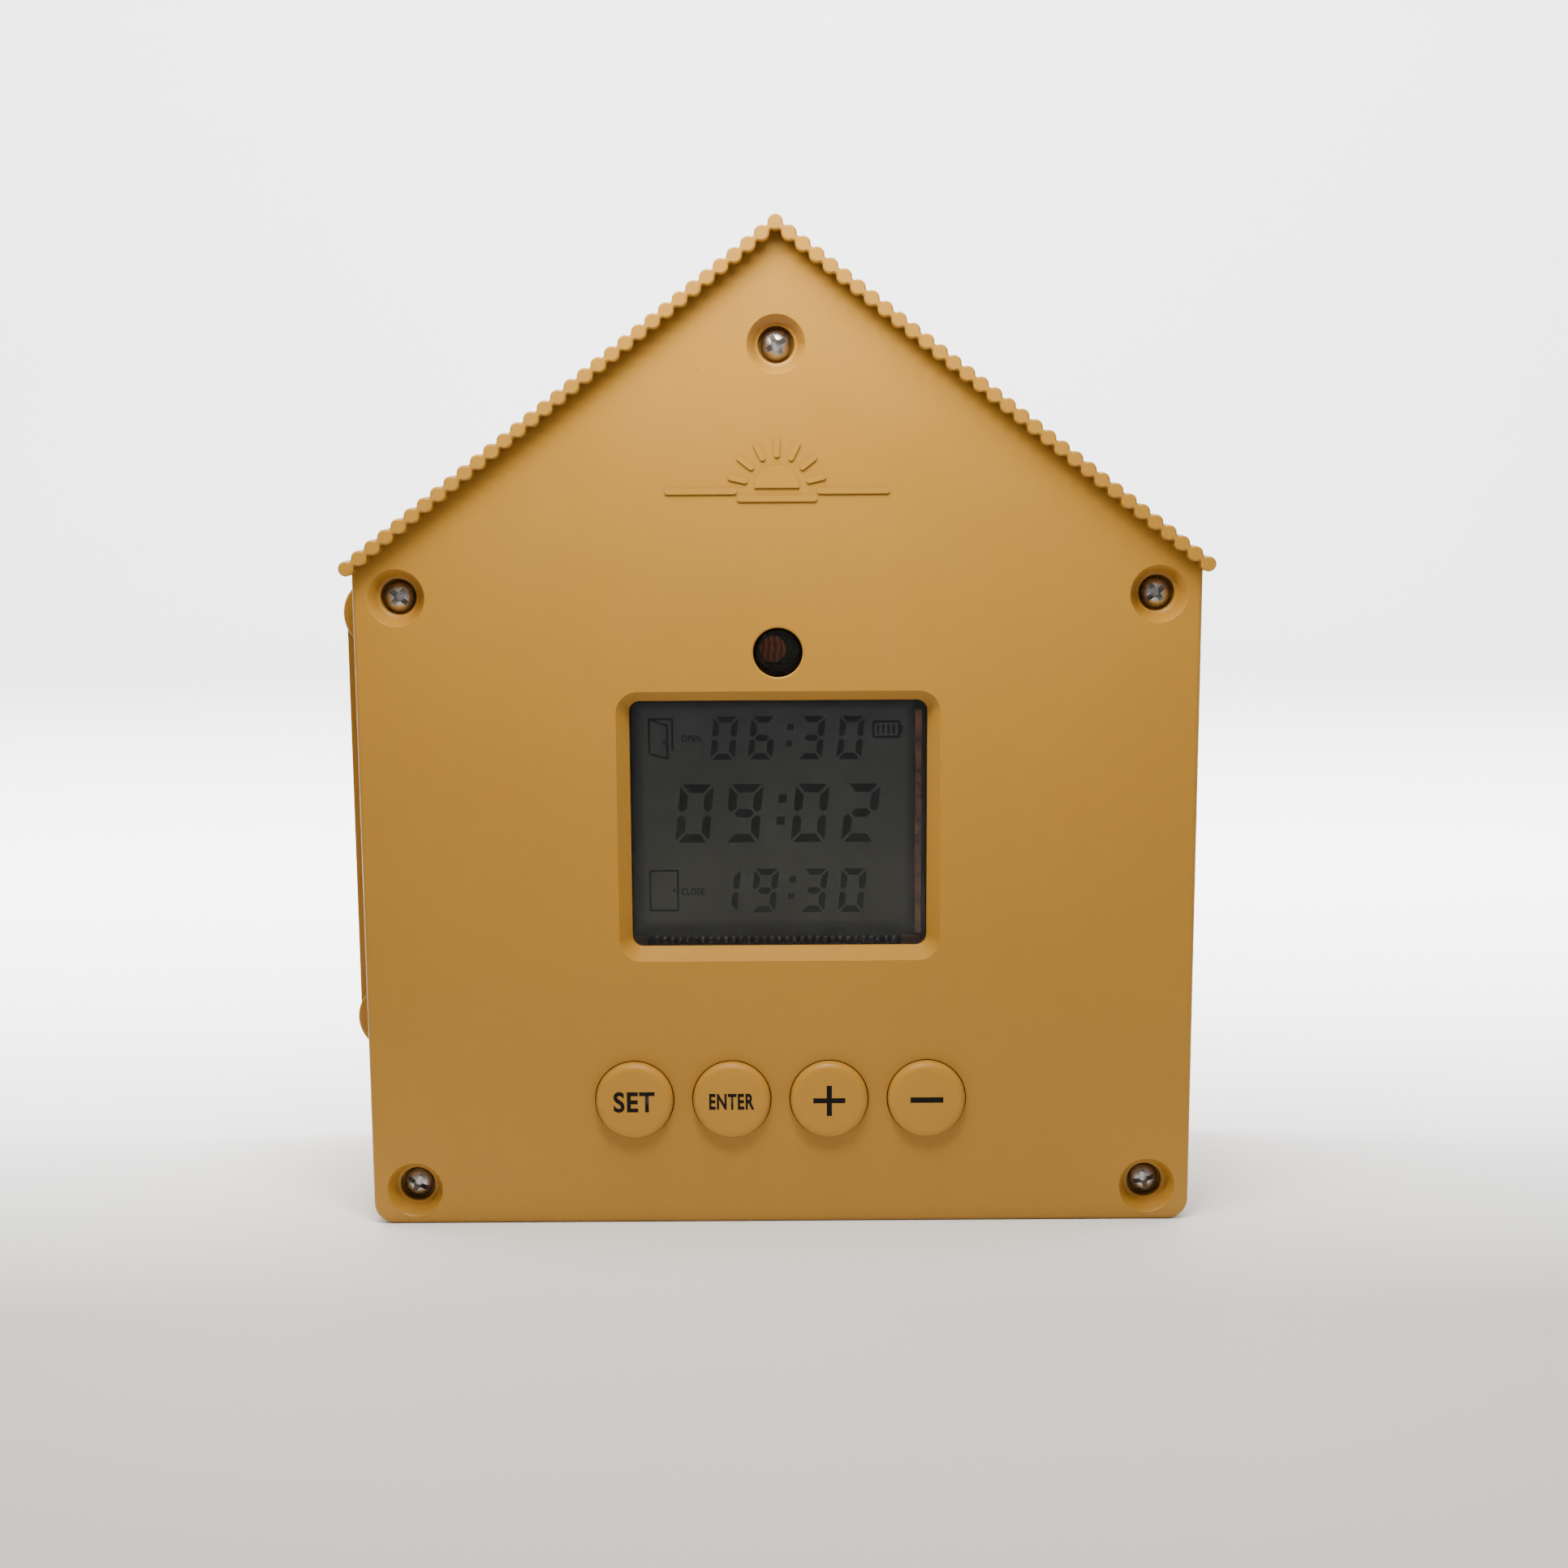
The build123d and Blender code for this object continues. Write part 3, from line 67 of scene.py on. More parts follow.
# ================================================================ shader helper
class Shader:
    """Builds a node material; sockets are given by name, as a value or as another node's output."""

    def __init__(self, name):
        self.material = bpy.data.materials.new(name)
        self.material.use_nodes = True
        self.tree = self.material.node_tree
        self.tree.nodes.clear()
        self.output = self.tree.nodes.new("ShaderNodeOutputMaterial")
        self.coordinates = self.tree.nodes.new("ShaderNodeTexCoord").outputs["Object"]

    def node(self, kind, values=None, **settings):
        made = self.tree.nodes.new("ShaderNode" + kind)
        for key, value in settings.items():
            setattr(made, key, value)
        for key, value in (values or {}).items():
            if isinstance(value, bpy.types.NodeSocket):
                self.tree.links.new(value, made.inputs[key])
            else:
                made.inputs[key].default_value = value
        return made

    def noise(self, scale, detail=3.0, rough=0.55, stretch=(1, 1, 1), distortion=0.0):
        placed = self.node("Mapping", {"Vector": self.coordinates, "Scale": stretch}).outputs[0]
        values = {
            "Vector": placed,
            "Scale": scale,
            "Detail": detail,
            "Roughness": rough,
            "Distortion": distortion,
        }
        return self.node("TexNoise", values).outputs["Fac"]

    def ramp(self, fac, stops, interpolation="LINEAR"):
        """Maps a 0 to 1 value through (position, grey or colour) stops."""
        made = self.node("ValToRGB", {"Fac": fac})
        ramp = made.color_ramp
        ramp.interpolation = interpolation
        for i, (place, colour) in enumerate(stops):
            element = ramp.elements[i] if i < len(ramp.elements) else ramp.elements.new(place)
            element.position = place
            element.color = (*colour, 1) if isinstance(colour, tuple) else (colour, colour, colour, 1)
        return made.outputs["Color"]

    def math(self, operation, a, b=0.0, clamp=False):
        return self.node("Math", {0: a, 1: b}, operation=operation, use_clamp=clamp).outputs[0]

    def mix(self, fac, a, b, blend="MIX"):
        """Mixes two colours. Sockets 6 and 7 are the node's colour inputs, and output 2 is its colour."""
        made = self.node("Mix", data_type="RGBA", blend_type=blend)
        for index, value in ((0, fac), (6, a), (7, b)):
            if isinstance(value, bpy.types.NodeSocket):
                self.tree.links.new(value, made.inputs[index])
            elif index and len(value) == 3:
                made.inputs[index].default_value = (*value, 1)
            else:
                made.inputs[index].default_value = value
        return made.outputs[2]

    def axis(self, name):
        """One coordinate of the row frame, in metres."""
        return self.node("SeparateXYZ", {"Vector": self.coordinates}).outputs[name]

    def bump(self, height, distance, strength=1.0, under=None):
        values = {"Height": height, "Distance": distance, "Strength": strength}
        if under is not None:
            values["Normal"] = under
        return self.node("Bump", values).outputs["Normal"]

    def principled(self, **sockets):
        values = {key.replace("_", " "): value for key, value in sockets.items()}
        made = self.node("BsdfPrincipled", values)
        self.tree.links.new(made.outputs[0], self.output.inputs["Surface"])
        return self.material


WHITE, BLACK = (1, 1, 1, 1), (0, 0, 0, 1)


def times(colour, factor):
    return tuple(c * factor for c in colour)


# ================================================================ materials
def moulded(name, colour, rough=0.5, grain=0.00002, spots=True, corner_shade_level=0.70):
    """Satin moulded plastic: spark-eroded grain, faint mottling, painted shade darkening the corners, rubbed
    patches.
    """
    s = Shader(name)
    broad = s.noise(11, 4, 0.6)
    fine = s.noise(420, 3, 0.6)
    mottled = s.mix(s.ramp(broad, [(0.3, 0.0), (0.7, 1.0)]), times(colour, 0.94), times(colour, 1.05))
    tinted = s.mix(s.math("MULTIPLY", fine, 0.18), mottled, times(colour, 0.82))
    if spots:
        cells = s.node("TexVoronoi", {"Vector": s.coordinates, "Scale": 75.0}).outputs["Distance"]
        speck = s.ramp(cells, [(0.0, 1.0), (0.012, 0.8), (0.022, 0.0)])
        tinted = s.mix(s.math("MULTIPLY", speck, 0.55), tinted, times(colour, 0.35))
    # Painted shade: ambient occlusion darkens the colour in corners, creases and recesses.
    corner = s.node("AmbientOcclusion", {"Distance": 0.0045}, samples=6).outputs["AO"]
    shade = s.ramp(corner, [(0.25, corner_shade_level), (0.85, 1.0)])
    base = s.mix(1.0, tinted, shade, "MULTIPLY")
    sparks = s.noise(2600, 2, 0.7)
    waves = s.noise(60, 2, 0.5)
    rubbed = s.ramp(s.noise(38, 5, 0.7), [(0.42, rough + 0.05), (0.62, rough - 0.07)])
    wavy = s.bump(waves, 0.00008, 0.35)
    return s.principled(
        Base_Color=base,
        Roughness=rubbed,
        Normal=s.bump(sparks, grain, 0.55, wavy),
        IOR=1.5,
        Specular_IOR_Level=0.28,
    )


def metal(name, colour, rough=0.3, stretch=(1, 1, 1), scratches=0.5, tarnish=0.6):
    """Bare or plated metal: drawn or turned marks, small scratches, a cloudy darker film, and painted shade
    in the corners.
    """
    s = Shader(name)
    marks = s.noise(900, 3, 0.7, stretch)
    cloud = s.noise(120, 4, 0.65)
    film = s.mix(s.ramp(cloud, [(0.35, 0.0), (0.75, 1.0)]), colour, times(colour, tarnish))
    # Painted shade: ambient occlusion darkens the colour in corners and recesses.
    corner = s.node("AmbientOcclusion", {"Distance": 0.0012}, samples=4).outputs["AO"]
    base = s.mix(1.0, film, s.ramp(corner, [(0.2, 0.45), (0.8, 1.0)]), "MULTIPLY")
    shine = s.ramp(marks, [(0.3, max(0.08, rough - 0.1)), (0.7, rough + 0.14)])
    return s.principled(
        Base_Color=base, Metallic=1.0, Roughness=shine, Normal=s.bump(marks, 0.00001 * scratches, 0.8)
    )


def rubber(name, colour=(0.022, 0.022, 0.023)):
    """Black rubber with a dusty bloom."""
    s = Shader(name)
    bloom = s.ramp(s.noise(160, 5, 0.7), [(0.4, 0.0), (0.8, 1.0)])
    base = s.mix(bloom, colour, times(colour, 2.6))
    pores = s.noise(3500, 2, 0.6)
    return s.principled(
        Base_Color=base,
        Roughness=s.ramp(bloom, [(0.0, 0.62), (1.0, 0.85)]),
        Normal=s.bump(pores, 0.00002, 0.7),
    )


def clear_window(name):
    """Polished acrylic: see-through, with a mirror gloss, hairline scratches and dust."""
    s = Shader(name)
    scratches = s.noise(2200, 2, 0.8, (0.05, 1, 1), 0.4)
    dust = s.ramp(s.noise(5200, 1, 0.5), [(0.70, 0.0), (0.76, 1.0)])
    normal = s.bump(scratches, 0.000004, 0.25)
    clear = s.node("BsdfTransparent", {"Color": (0.93, 0.935, 0.94, 1)}).outputs[0]
    gloss_rough = s.ramp(scratches, [(0.4, 0.02), (0.8, 0.07)])
    gloss = s.node("BsdfAnisotropic", {"Color": WHITE, "Roughness": gloss_rough, "Normal": normal}).outputs[0]
    film = s.node("BsdfDiffuse", {"Color": (0.55, 0.53, 0.5, 1)}).outputs[0]
    edge = s.node("Fresnel", {"IOR": 1.33, "Normal": normal}).outputs[0]
    shiny = s.node("MixShader", {0: edge, 1: clear, 2: gloss}).outputs[0]
    dusty = s.node("MixShader", {0: s.math("MULTIPLY", dust, 0.16), 1: shiny, 2: film}).outputs[0]
    s.tree.links.new(dusty, s.output.inputs["Surface"])
    return s.material


def tinted_lens(name):
    """Brown-tinted polycarbonate over the photocell: see-through and glossy, with fine marks."""
    s = Shader(name)
    cloud = s.noise(300, 3, 0.6)
    tint = s.mix(cloud, (0.78, 0.66, 0.58), (0.88, 0.78, 0.70))
    normal = s.bump(s.noise(2600, 2, 0.6), 0.000004, 0.3)
    clear = s.node("BsdfTransparent", {"Color": tint}).outputs[0]
    gloss = s.node("BsdfAnisotropic", {"Color": WHITE, "Roughness": 0.06, "Normal": normal}).outputs[0]
    edge = s.node("Fresnel", {"IOR": 1.35, "Normal": normal}).outputs[0]
    both = s.node("MixShader", {0: edge, 1: clear, 2: gloss}).outputs[0]
    s.tree.links.new(both, s.output.inputs["Surface"])
    return s.material


def liquid_crystal(name):
    """Unlit reflective display with a dark border; painted light and shade make it darker blue-grey above and
    lighter, warmer below.
    """
    s = Shader(name)
    half_x = (high("lcd_glass").x - low("lcd_glass").x) / 2
    base_z, top_z = low("lcd_glass").z, high("lcd_glass").z
    up = s.node("MapRange", {0: s.axis("Z"), 1: base_z, 2: top_z, 3: 0.0, 4: 1.0}).outputs[0]
    # Painted light and shade: darker blue-grey towards the top, lighter and warmer lower down.
    painted_light_tones = [
        (0.06, (0.090, 0.088, 0.070)),
        (0.30, (0.128, 0.124, 0.098)),
        (0.62, (0.118, 0.118, 0.106)),
        (1.00, (0.100, 0.103, 0.107)),
    ]
    tone = s.ramp(up, painted_light_tones)
    cloud = s.ramp(s.noise(34, 3, 0.6), [(0.3, 0.86), (0.7, 1.14)])
    toned = s.mix(1.0, tone, cloud, "MULTIPLY")
    across = s.math("DIVIDE", s.math("ABSOLUTE", s.math("SUBTRACT", s.axis("X"), GLASS.x)), half_x)
    view_middle, view_half = 0.53, 0.47  # of the viewing area, as shares of the glass's height
    height = s.math("DIVIDE", s.math("ABSOLUTE", s.math("SUBTRACT", up, view_middle)), view_half)
    rim = s.ramp(s.math("MAXIMUM", across, height), [(0.90, 1.0), (0.955, 0.45), (0.985, 0.16)])
    base = s.mix(1.0, toned, rim, "MULTIPLY")
    sparkle = s.noise(6000, 1, 0.5)
    rough = s.ramp(sparkle, [(0.3, 0.26), (0.7, 0.36)])
    return s.principled(
        Base_Color=base, Roughness=rough, Normal=s.bump(sparkle, 0.000003, 0.5), Specular_IOR_Level=0.1
    )


def segment_ink(name, strength=1.0):
    """Dark segment in the liquid crystal, uneven where the drive voltage fades. Less strength is paler."""
    s = Shader(name)
    cloud = s.ramp(s.noise(48, 2, 0.5), [(0.3, 0.35), (0.72, 1.0)])
    dark = times((0.0020, 0.0022, 0.0034), 1 / strength)
    faded = times((0.008, 0.009, 0.007), 1 / strength)
    base = s.mix(cloud, dark, faded)
    rough = s.ramp(s.noise(6000, 1, 0.5), [(0.3, 0.28), (0.7, 0.38)])
    return s.principled(Base_Color=base, Roughness=rough, Specular_IOR_Level=0.05)


def print_ink(name):
    """Pad-printed black ink, slightly thin in places."""
    s = Shader(name)
    thin = s.ramp(s.noise(2600, 3, 0.7), [(0.35, 0.0), (0.8, 1.0)])
    base = s.mix(thin, (0.003, 0.003, 0.003), (0.012, 0.010, 0.008))
    rough = s.ramp(thin, [(0, 0.45), (1, 0.62)])
    grain = s.bump(s.noise(3000, 2), 0.000008, 0.5)
    return s.principled(Base_Color=base, Roughness=rough, Normal=grain, Specular_IOR_Level=0.12)


def circuit_board(name):
    """Green solder mask with copper traces showing through and bright pads."""
    s = Shader(name)
    grid = s.node("Mapping", {"Vector": s.coordinates, "Rotation": (math.radians(90), 0, 0)}).outputs[0]
    lines = {
        "Vector": grid,
        "Scale": 260.0,
        "Mortar Size": 0.06,
        "Mortar Smooth": 0.1,
        "Color1": BLACK,
        "Color2": BLACK,
        "Mortar": WHITE,
    }
    brick = s.node("TexBrick", lines, offset=0.37, squash=1.6, squash_frequency=3).outputs["Color"]
    broken = s.ramp(s.noise(190, 1, 0.5), [(0.47, 0.0), (0.5, 1.0)], "CONSTANT")
    trace = s.math("MULTIPLY", brick, broken)
    dots = s.node("TexVoronoi", {"Vector": s.coordinates, "Scale": 270.0}).outputs["Distance"]
    pad = s.ramp(dots, [(0.0, 1.0), (0.14, 1.0), (0.16, 0.0)])
    mask = s.mix(s.noise(25, 3), (0.008, 0.075, 0.030), (0.014, 0.105, 0.045))
    traced = s.mix(trace, mask, (0.030, 0.190, 0.075))
    base = s.mix(pad, traced, (0.62, 0.60, 0.56))
    return s.principled(
        Base_Color=base,
        Metallic=s.math("MULTIPLY", pad, 0.9),
        Roughness=s.ramp(s.noise(700, 2), [(0.3, 0.22), (0.8, 0.4)]),
        Normal=s.bump(trace, 0.00003, 0.8),
    )


def battery_sleeve(name, node, way):
    """Printed sleeve: plain two-tone bands, with the steel showing at both ends. way is 1 or -1."""
    s = Shader(name)
    bottom, top = low(node).z, high(node).z
    first, last = (bottom, top) if way > 0 else (top, bottom)
    along = s.node("MapRange", {0: s.axis("Z"), 1: first, 2: last, 3: 0.0, 4: 1.0}).outputs[0]
    bare, line = (0.55, 0.55, 0.55), (0.75, 0.72, 0.66)
    blue, copper = (0.012, 0.030, 0.075), (0.55, 0.26, 0.09)
    start, end = 0.012, 0.958  # of the sleeve, as shares of the cell's length
    stops = [(0.0, bare), (start, blue), (0.66, copper), (0.675, line), (0.69, copper), (end, bare)]
    bands = s.ramp(along, stops, "CONSTANT")
    steel = s.math("MAXIMUM", s.math("LESS_THAN", along, start), s.math("GREATER_THAN", along, end))
    wear = s.ramp(s.noise(260, 4, 0.7), [(0.55, 0.0), (0.8, 1.0)])
    worn = s.mix(s.math("MULTIPLY", wear, 0.35), bands, (0.4, 0.4, 0.4))
    return s.principled(
        Base_Color=worn,
        Metallic=s.math("MAXIMUM", steel, 0.35),
        Roughness=s.ramp(s.noise(180, 3), [(0.3, 0.2), (0.7, 0.34)]),
        Normal=s.bump(s.noise(500, 2), 0.00001, 0.4),
    )


def photocell_disc(name):
    """Lacquered red-orange sensor disc with a winding dark track."""
    s = Shader(name)
    winding = {"Vector": s.coordinates, "Scale": 260.0, "Distortion": 2.5, "Detail": 1.0}
    bands = s.node("TexWave", winding, bands_direction="X").outputs["Fac"]
    track = s.ramp(bands, [(0.42, (0.85, 0.36, 0.14)), (0.58, (0.34, 0.12, 0.06))])
    rough = s.ramp(s.noise(900), [(0.3, 0.2), (0.7, 0.35)])
    return s.principled(Base_Color=track, Roughness=rough, Coat_Weight=0.4)


def amber_edge_glint(name):
    """Amber strips beside the glass: a painted reflection, for the reddish-brown glint at the glass's edges.
    """
    s = Shader(name)
    cloud = s.noise(260, 4, 0.6)
    base = s.mix(s.ramp(cloud, [(0.35, 0.0), (0.7, 1.0)]), (0.14, 0.045, 0.018), (0.48, 0.170, 0.050))
    return s.principled(
        Base_Color=base,
        Roughness=s.ramp(cloud, [(0.3, 0.22), (0.7, 0.4)]),
        Normal=s.bump(s.noise(1400, 3), 0.00002, 0.6),
    )


def acetal(name):
    """White gear plastic with a trace of grease."""
    s = Shader(name)
    grease = s.ramp(s.noise(140, 4, 0.6), [(0.5, 0.0), (0.75, 1.0)])
    base = s.mix(grease, (0.78, 0.77, 0.72), (0.66, 0.60, 0.46))
    return s.principled(
        Base_Color=base,
        Roughness=s.ramp(grease, [(0, 0.45), (1, 0.2)]),
        Normal=s.bump(s.noise(1200, 2), 0.00001, 0.5),
        Subsurface_Weight=0.1,
        Subsurface_Radius=(0.0008, 0.0007, 0.0005),
    )


OCHRE = (0.445, 0.218, 0.026)
finishes = {
    "shell": moulded("moulded_ochre", OCHRE, 0.42),
    # Painted light: the buttons use the shell's ochre made 12% lighter, for the brighter light on their
    # crowns.
    "button": moulded("moulded_button_lit", times(OCHRE, 1.12), 0.46, 0.000008, False, 0.7),
    "black": moulded("moulded_black", (0.014, 0.013, 0.012), 0.45, 0.00001, False, 0.6),
    "dark_brown": moulded("moulded_dark_brown", (0.020, 0.013, 0.010), 0.4, 0.00001, False, 0.6),
    "nylon": moulded("moulded_natural_nylon", (0.72, 0.68, 0.58), 0.5, 0.00001, True, 0.6),
    "epoxy": moulded("moulded_epoxy", (0.012, 0.012, 0.013), 0.6, 0.00002, False, 0.6),
    "eyelet": moulded("polished_acetal", (0.012, 0.012, 0.012), 0.22, 0.000003, False, 0.7),
    "red_wire": moulded("red_sleeving", (0.35, 0.015, 0.012), 0.4, 0.000006, False, 0.7),
    "blue_wire": moulded("blue_sleeving", (0.012, 0.04, 0.25), 0.4, 0.000006, False, 0.7),
    "acetal": acetal("gear_acetal"),
    "screw": metal("screw_steel", (0.66, 0.65, 0.63), 0.34, (1, 0.2, 1), 0.8, 0.6),
    "zinc": metal("zinc_plate", (0.66, 0.66, 0.64), 0.32, (1, 1, 0.15), 0.6, 0.8),
    "spring": metal("nickel_spring", (0.72, 0.70, 0.66), 0.2, (1, 1, 1), 0.4, 0.85),
    "ground": metal("ground_steel", (0.60, 0.60, 0.60), 0.2, (0.1, 1, 1), 0.5, 0.85),
    "can": metal("drawn_can", (0.62, 0.61, 0.59), 0.24, (0.15, 1, 1), 0.5, 0.85),
    "tin": metal("tinned_bronze", (0.82, 0.80, 0.76), 0.25, (1, 1, 1), 0.4, 0.8),
    "black_steel": metal("black_oxide", (0.08, 0.08, 0.085), 0.4, (1, 1, 1), 0.4, 0.7),
    "brass": metal("brass_turned", (0.80, 0.58, 0.24), 0.25, (0.1, 1, 1), 0.5, 0.75),
    "bronze": metal("sintered_bronze", (0.58, 0.38, 0.18), 0.5, (1, 1, 1), 1.0, 0.7),
    "rubber": rubber("black_rubber"),
    "window": clear_window("clear_acrylic"),
    "lens": tinted_lens("tinted_polycarbonate"),
    "lcd": liquid_crystal("liquid_crystal"),
    "board": circuit_board("solder_mask"),
    "photocell": photocell_disc("photocell_lacquer"),
    "edge_glint": amber_edge_glint("amber_edge_glint_strip"),
    "segment": segment_ink("crystal_segment"),
    "faint": segment_ink("crystal_segment_thin", 0.8),
    "ink": print_ink("black_print"),
}

NODE_FINISH = {
    "shell": ["front_cover", "rear_housing", "battery_door"],
    "button": ["set_button", "enter_button", "plus_button", "minus_button"],
    "black": ["sensor_tube", "tact_switches", "spool"]
    + [f"{key}_plunger" for key in ("set", "enter", "plus", "minus")],
    "dark_brown": ["lcd_frame"],
    "nylon": ["battery_socket", "motor_socket", "motor_end_cap"],
    "epoxy": ["microcontroller", "motor_driver"],
    "eyelet": ["cord_eyelet"],
    "red_wire": ["battery_leads"],
    "blue_wire": ["motor_leads"],
    "acetal": ["output_gear", "gear_a", "gear_b"],
    "screw": ["cover_screws"],
    "zinc": ["board_screws", "motor_screws"]
    + [f"winder_{part}" for part in ("plate_left", "plate_right", "spacers", "screws")],
    "spring": ["contact_plates", "contact_springs", "eyelet_clip"],
    "ground": ["hinge_pin", "arbor_a", "arbor_b", "output_shaft", "motor_shaft"],
    "can": ["motor_can", "capacitor"],
    "tin": ["lcd_pins", "motor_terminals"],
    "black_steel": ["spool_set_screw"],
    "brass": ["motor_pinion"],
    "bronze": ["bush_left", "bush_right"],
    "rubber": ["cover_gasket", "battery_door_seal"],
    "window": ["display_window"],
    "lens": ["sensor_lens"],
    "lcd": ["lcd_glass"],
    "board": ["main_board"],
    "photocell": ["photocell"],
}


def paint(piece, material):
    piece.data.materials.clear()
    piece.data.materials.append(material)


for finish, members in NODE_FINISH.items():
    for member in members:
        paint(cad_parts[member], finishes[finish])
for number in range(1, 5):
    cell = f"battery_{number}"
    way = 1 if number in (1, 4) else -1
    paint(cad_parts[cell], battery_sleeve(f"sleeve_{number}", cell, way))


# ================================================================ thin pieces
def plate(name, outlines, front_y, thickness, material, body):
    """Thin plate facing the front, from closed outlines of (x, z) points in metres."""
    mesh = bpy.data.meshes.new(name)
    work = bmesh.new()
    for outline in outlines:
        turn = sum(a[0] * b[1] - b[0] * a[1] for a, b in zip(outline, outline[1:] + outline[:1]))
        ordered = outline if turn > 0 else outline[::-1]
        front = [work.verts.new((x, front_y, z)) for x, z in ordered]
        back = [work.verts.new((x, front_y + thickness, z)) for x, z in ordered]
        work.faces.new(front)
        work.faces.new(back[::-1])
        for i in range(len(front)):
            j = (i + 1) % len(front)
            work.faces.new((front[j], front[i], back[i], back[j]))
    bmesh.ops.recalc_face_normals(work, faces=work.faces)
    work.to_mesh(mesh)
    work.free()
    piece = bpy.data.objects.new(name, mesh)
    bpy.context.scene.collection.objects.link(piece)
    paint(piece, material)
    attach(piece, body)
    return piece


def bar(a, b, width):
    """Outline of a straight stroke from a to b."""
    a, b = Vector(a), Vector(b)
    side = (b - a).normalized().orthogonal() * width / 2
    return [tuple(p) for p in (a + side, b + side, b - side, a - side)]


# ================================================================ display
SEGMENT_LAYER = 0.03 * MM  # thickness of the segments' layer on the glass
SLANT = 0.10  # sideways lean of the figures per unit of height
SEGMENT_FRONT = GLASS_FRONT - SEGMENT_LAYER
SEGMENTS = {
    "0": "abcdef",
    "1": "bc",
    "2": "abdeg",
    "3": "abcdg",
    "6": "acdefg",
    "9": "abcdfg",
}


def on_glass(x, z):
    """A place on the glass, from millimetres right of its middle and above its lower edge."""
    return (GLASS.x + x * MM, low("lcd_glass").z + z * MM)


def digit_outlines(figure, width, height, stroke, gap):
    """Mitred seven-segment outlines of one figure, with its lower left corner at the origin."""
    w, h, s, g = width, height, stroke, gap
    m = h / 2
    tip = s * 0.5
    foot = [(g, 0), (w - g, 0), (w - s - g * 0.4, s), (s + g * 0.4, s)]
    side = [(0, g), (0, m - g - tip * 0.4), (tip, m - g * 0.6), (s, m - tip - g * 0.5), (s, s + g)]
    left, right, upper, lower = tip + g, w - tip - g, m + tip, m - tip
    shapes = {
        "a": [(x, h - z) for x, z in foot],
        "b": [(w - x, h - z) for x, z in side],
        "c": [(w - x, z) for x, z in side],
        "d": foot,
        "e": side,
        "f": [(x, h - z) for x, z in side],
        "g": [(left, m), (s + g, upper), (w - s - g, upper), (right, m), (w - s - g, lower), (s + g, lower)],
    }
    return [[(x + z * SLANT, z) for x, z in shapes[k]] for k in SEGMENTS[figure]]


def time_row(name, figures, lefts, foot, width, height, colon_x):
    """Four figures and a colon, placed in millimetres as in on_glass."""
    stroke, gap = height * 0.145, height * 0.042
    outlines = []
    for figure, left in zip(figures, lefts):
        for shape in digit_outlines(figure, width, height, stroke, gap):
            outlines.append([(left + x, foot + z) for x, z in shape])
    dot = stroke * 0.98
    for level in (0.30, 0.68):
        x0, z0 = colon_x + level * height * SLANT, foot + height * level
        x1, z1, lean = x0 + dot, z0 + dot, dot * SLANT
        outlines.append([(x0, z0), (x1, z0), (x1 + lean, z1), (x0 + lean, z1)])
    placed = [[on_glass(x, z) for x, z in shape] for shape in outlines]
    return plate(name, placed, SEGMENT_FRONT, SEGMENT_LAYER * 0.9, finishes["segment"], "casing")


time_row("display_opening_time", "0630", (-12.45, -5.2, 4.4, 12.0), 36.8, 4.75, 8.45, 1.9)
time_row("display_clock", "0902", (-19.4, -9.8, 3.05, 12.9), 20.5, 6.55, 11.5, -0.1)
time_row("display_closing_time", "1930", (-12.35, -4.9, 4.7, 12.2), 6.55, 4.85, 8.7, 2.15)


def icon_plate(name, strokes, width=0.42):
    """Icon on the glass from straight strokes, placed in millimetres as in on_glass."""
    placed = [[on_glass(x, z) for x, z in bar(a, b, width)] for a, b in strokes]
    return plate(name, placed, SEGMENT_FRONT, SEGMENT_LAYER * 0.9, finishes["faint"], "casing")


def frame_strokes(x0, x1, z0, z1):
    """The four strokes of an upright rectangle."""
    return [((x0, z0), (x1, z0)), ((x1, z0), (x1, z1)), ((x1, z1), (x0, z1)), ((x0, z1), (x0, z0))]


open_door = [
    ((-24.2, 38.0), (-24.2, 44.8)),
    ((-24.2, 44.8), (-19.7, 44.8)),
    ((-19.7, 44.8), (-19.7, 38.6)),
    ((-24.2, 44.8), (-20.7, 43.5)),
    ((-20.7, 43.5), (-20.7, 37.1)),
    ((-20.7, 37.1), (-24.2, 38.0)),
    ((-21.3, 40.7), (-21.3, 39.9)),
]
closed_door = frame_strokes(-24.4, -19.0, 7.05, 14.95) + [((-19.7, 11.4), (-19.7, 10.6))]
battery_icon = frame_strokes(19.15, 24.2, 41.1, 44.1) + [((24.6, 41.9), (24.6, 43.3))]
battery_icon += [((x, 41.7), (x, 43.5)) for x in (20.1, 21.1, 22.1, 23.1)]
icon_plate("display_open_door_icon", open_door)
icon_plate("display_closed_door_icon", closed_door)
icon_plate("display_battery_icon", battery_icon, 0.5)


def edge_strip_outline(x0, x1, z0, z1, wander):
    """Strip with slightly uneven long edges, placed in millimetres as in on_glass."""
    steps = 14
    upright = z1 - z0 > x1 - x0
    near, far = [], []
    for i in range(steps + 1):
        t = i / steps
        a, b = random.uniform(-wander, wander), random.uniform(-wander, wander)
        if upright:
            near.append((x0 + a, z0 + (z1 - z0) * t))
            far.append((x1 + b, z0 + (z1 - z0) * t))
        else:
            near.append((x0 + (x1 - x0) * t, z0 + a))
            far.append((x0 + (x1 - x0) * t, z1 + b))
    return [on_glass(x, z) for x, z in near + far[::-1]]


# Amber strips at the glass's right and lower edges: a painted reflection of the reddish-brown glint there.
film = [
    edge_strip_outline(27.3, 28.5, 2.4, 46.4, 0.08),
    edge_strip_outline(-28.4, -25.2, 0.1, 1.9, 0.1),
    edge_strip_outline(24.6, 28.4, 0.1, 1.9, 0.1),
]
plate("display_edge_glint", film, GLASS_FRONT - 0.12 * MM, 0.1 * MM, finishes["edge_glint"], "casing")


# ================================================================ lettering
LETTER_SPREAD = 3.2  # extra letter spacing per unit of added weight, so heavier letters don't touch


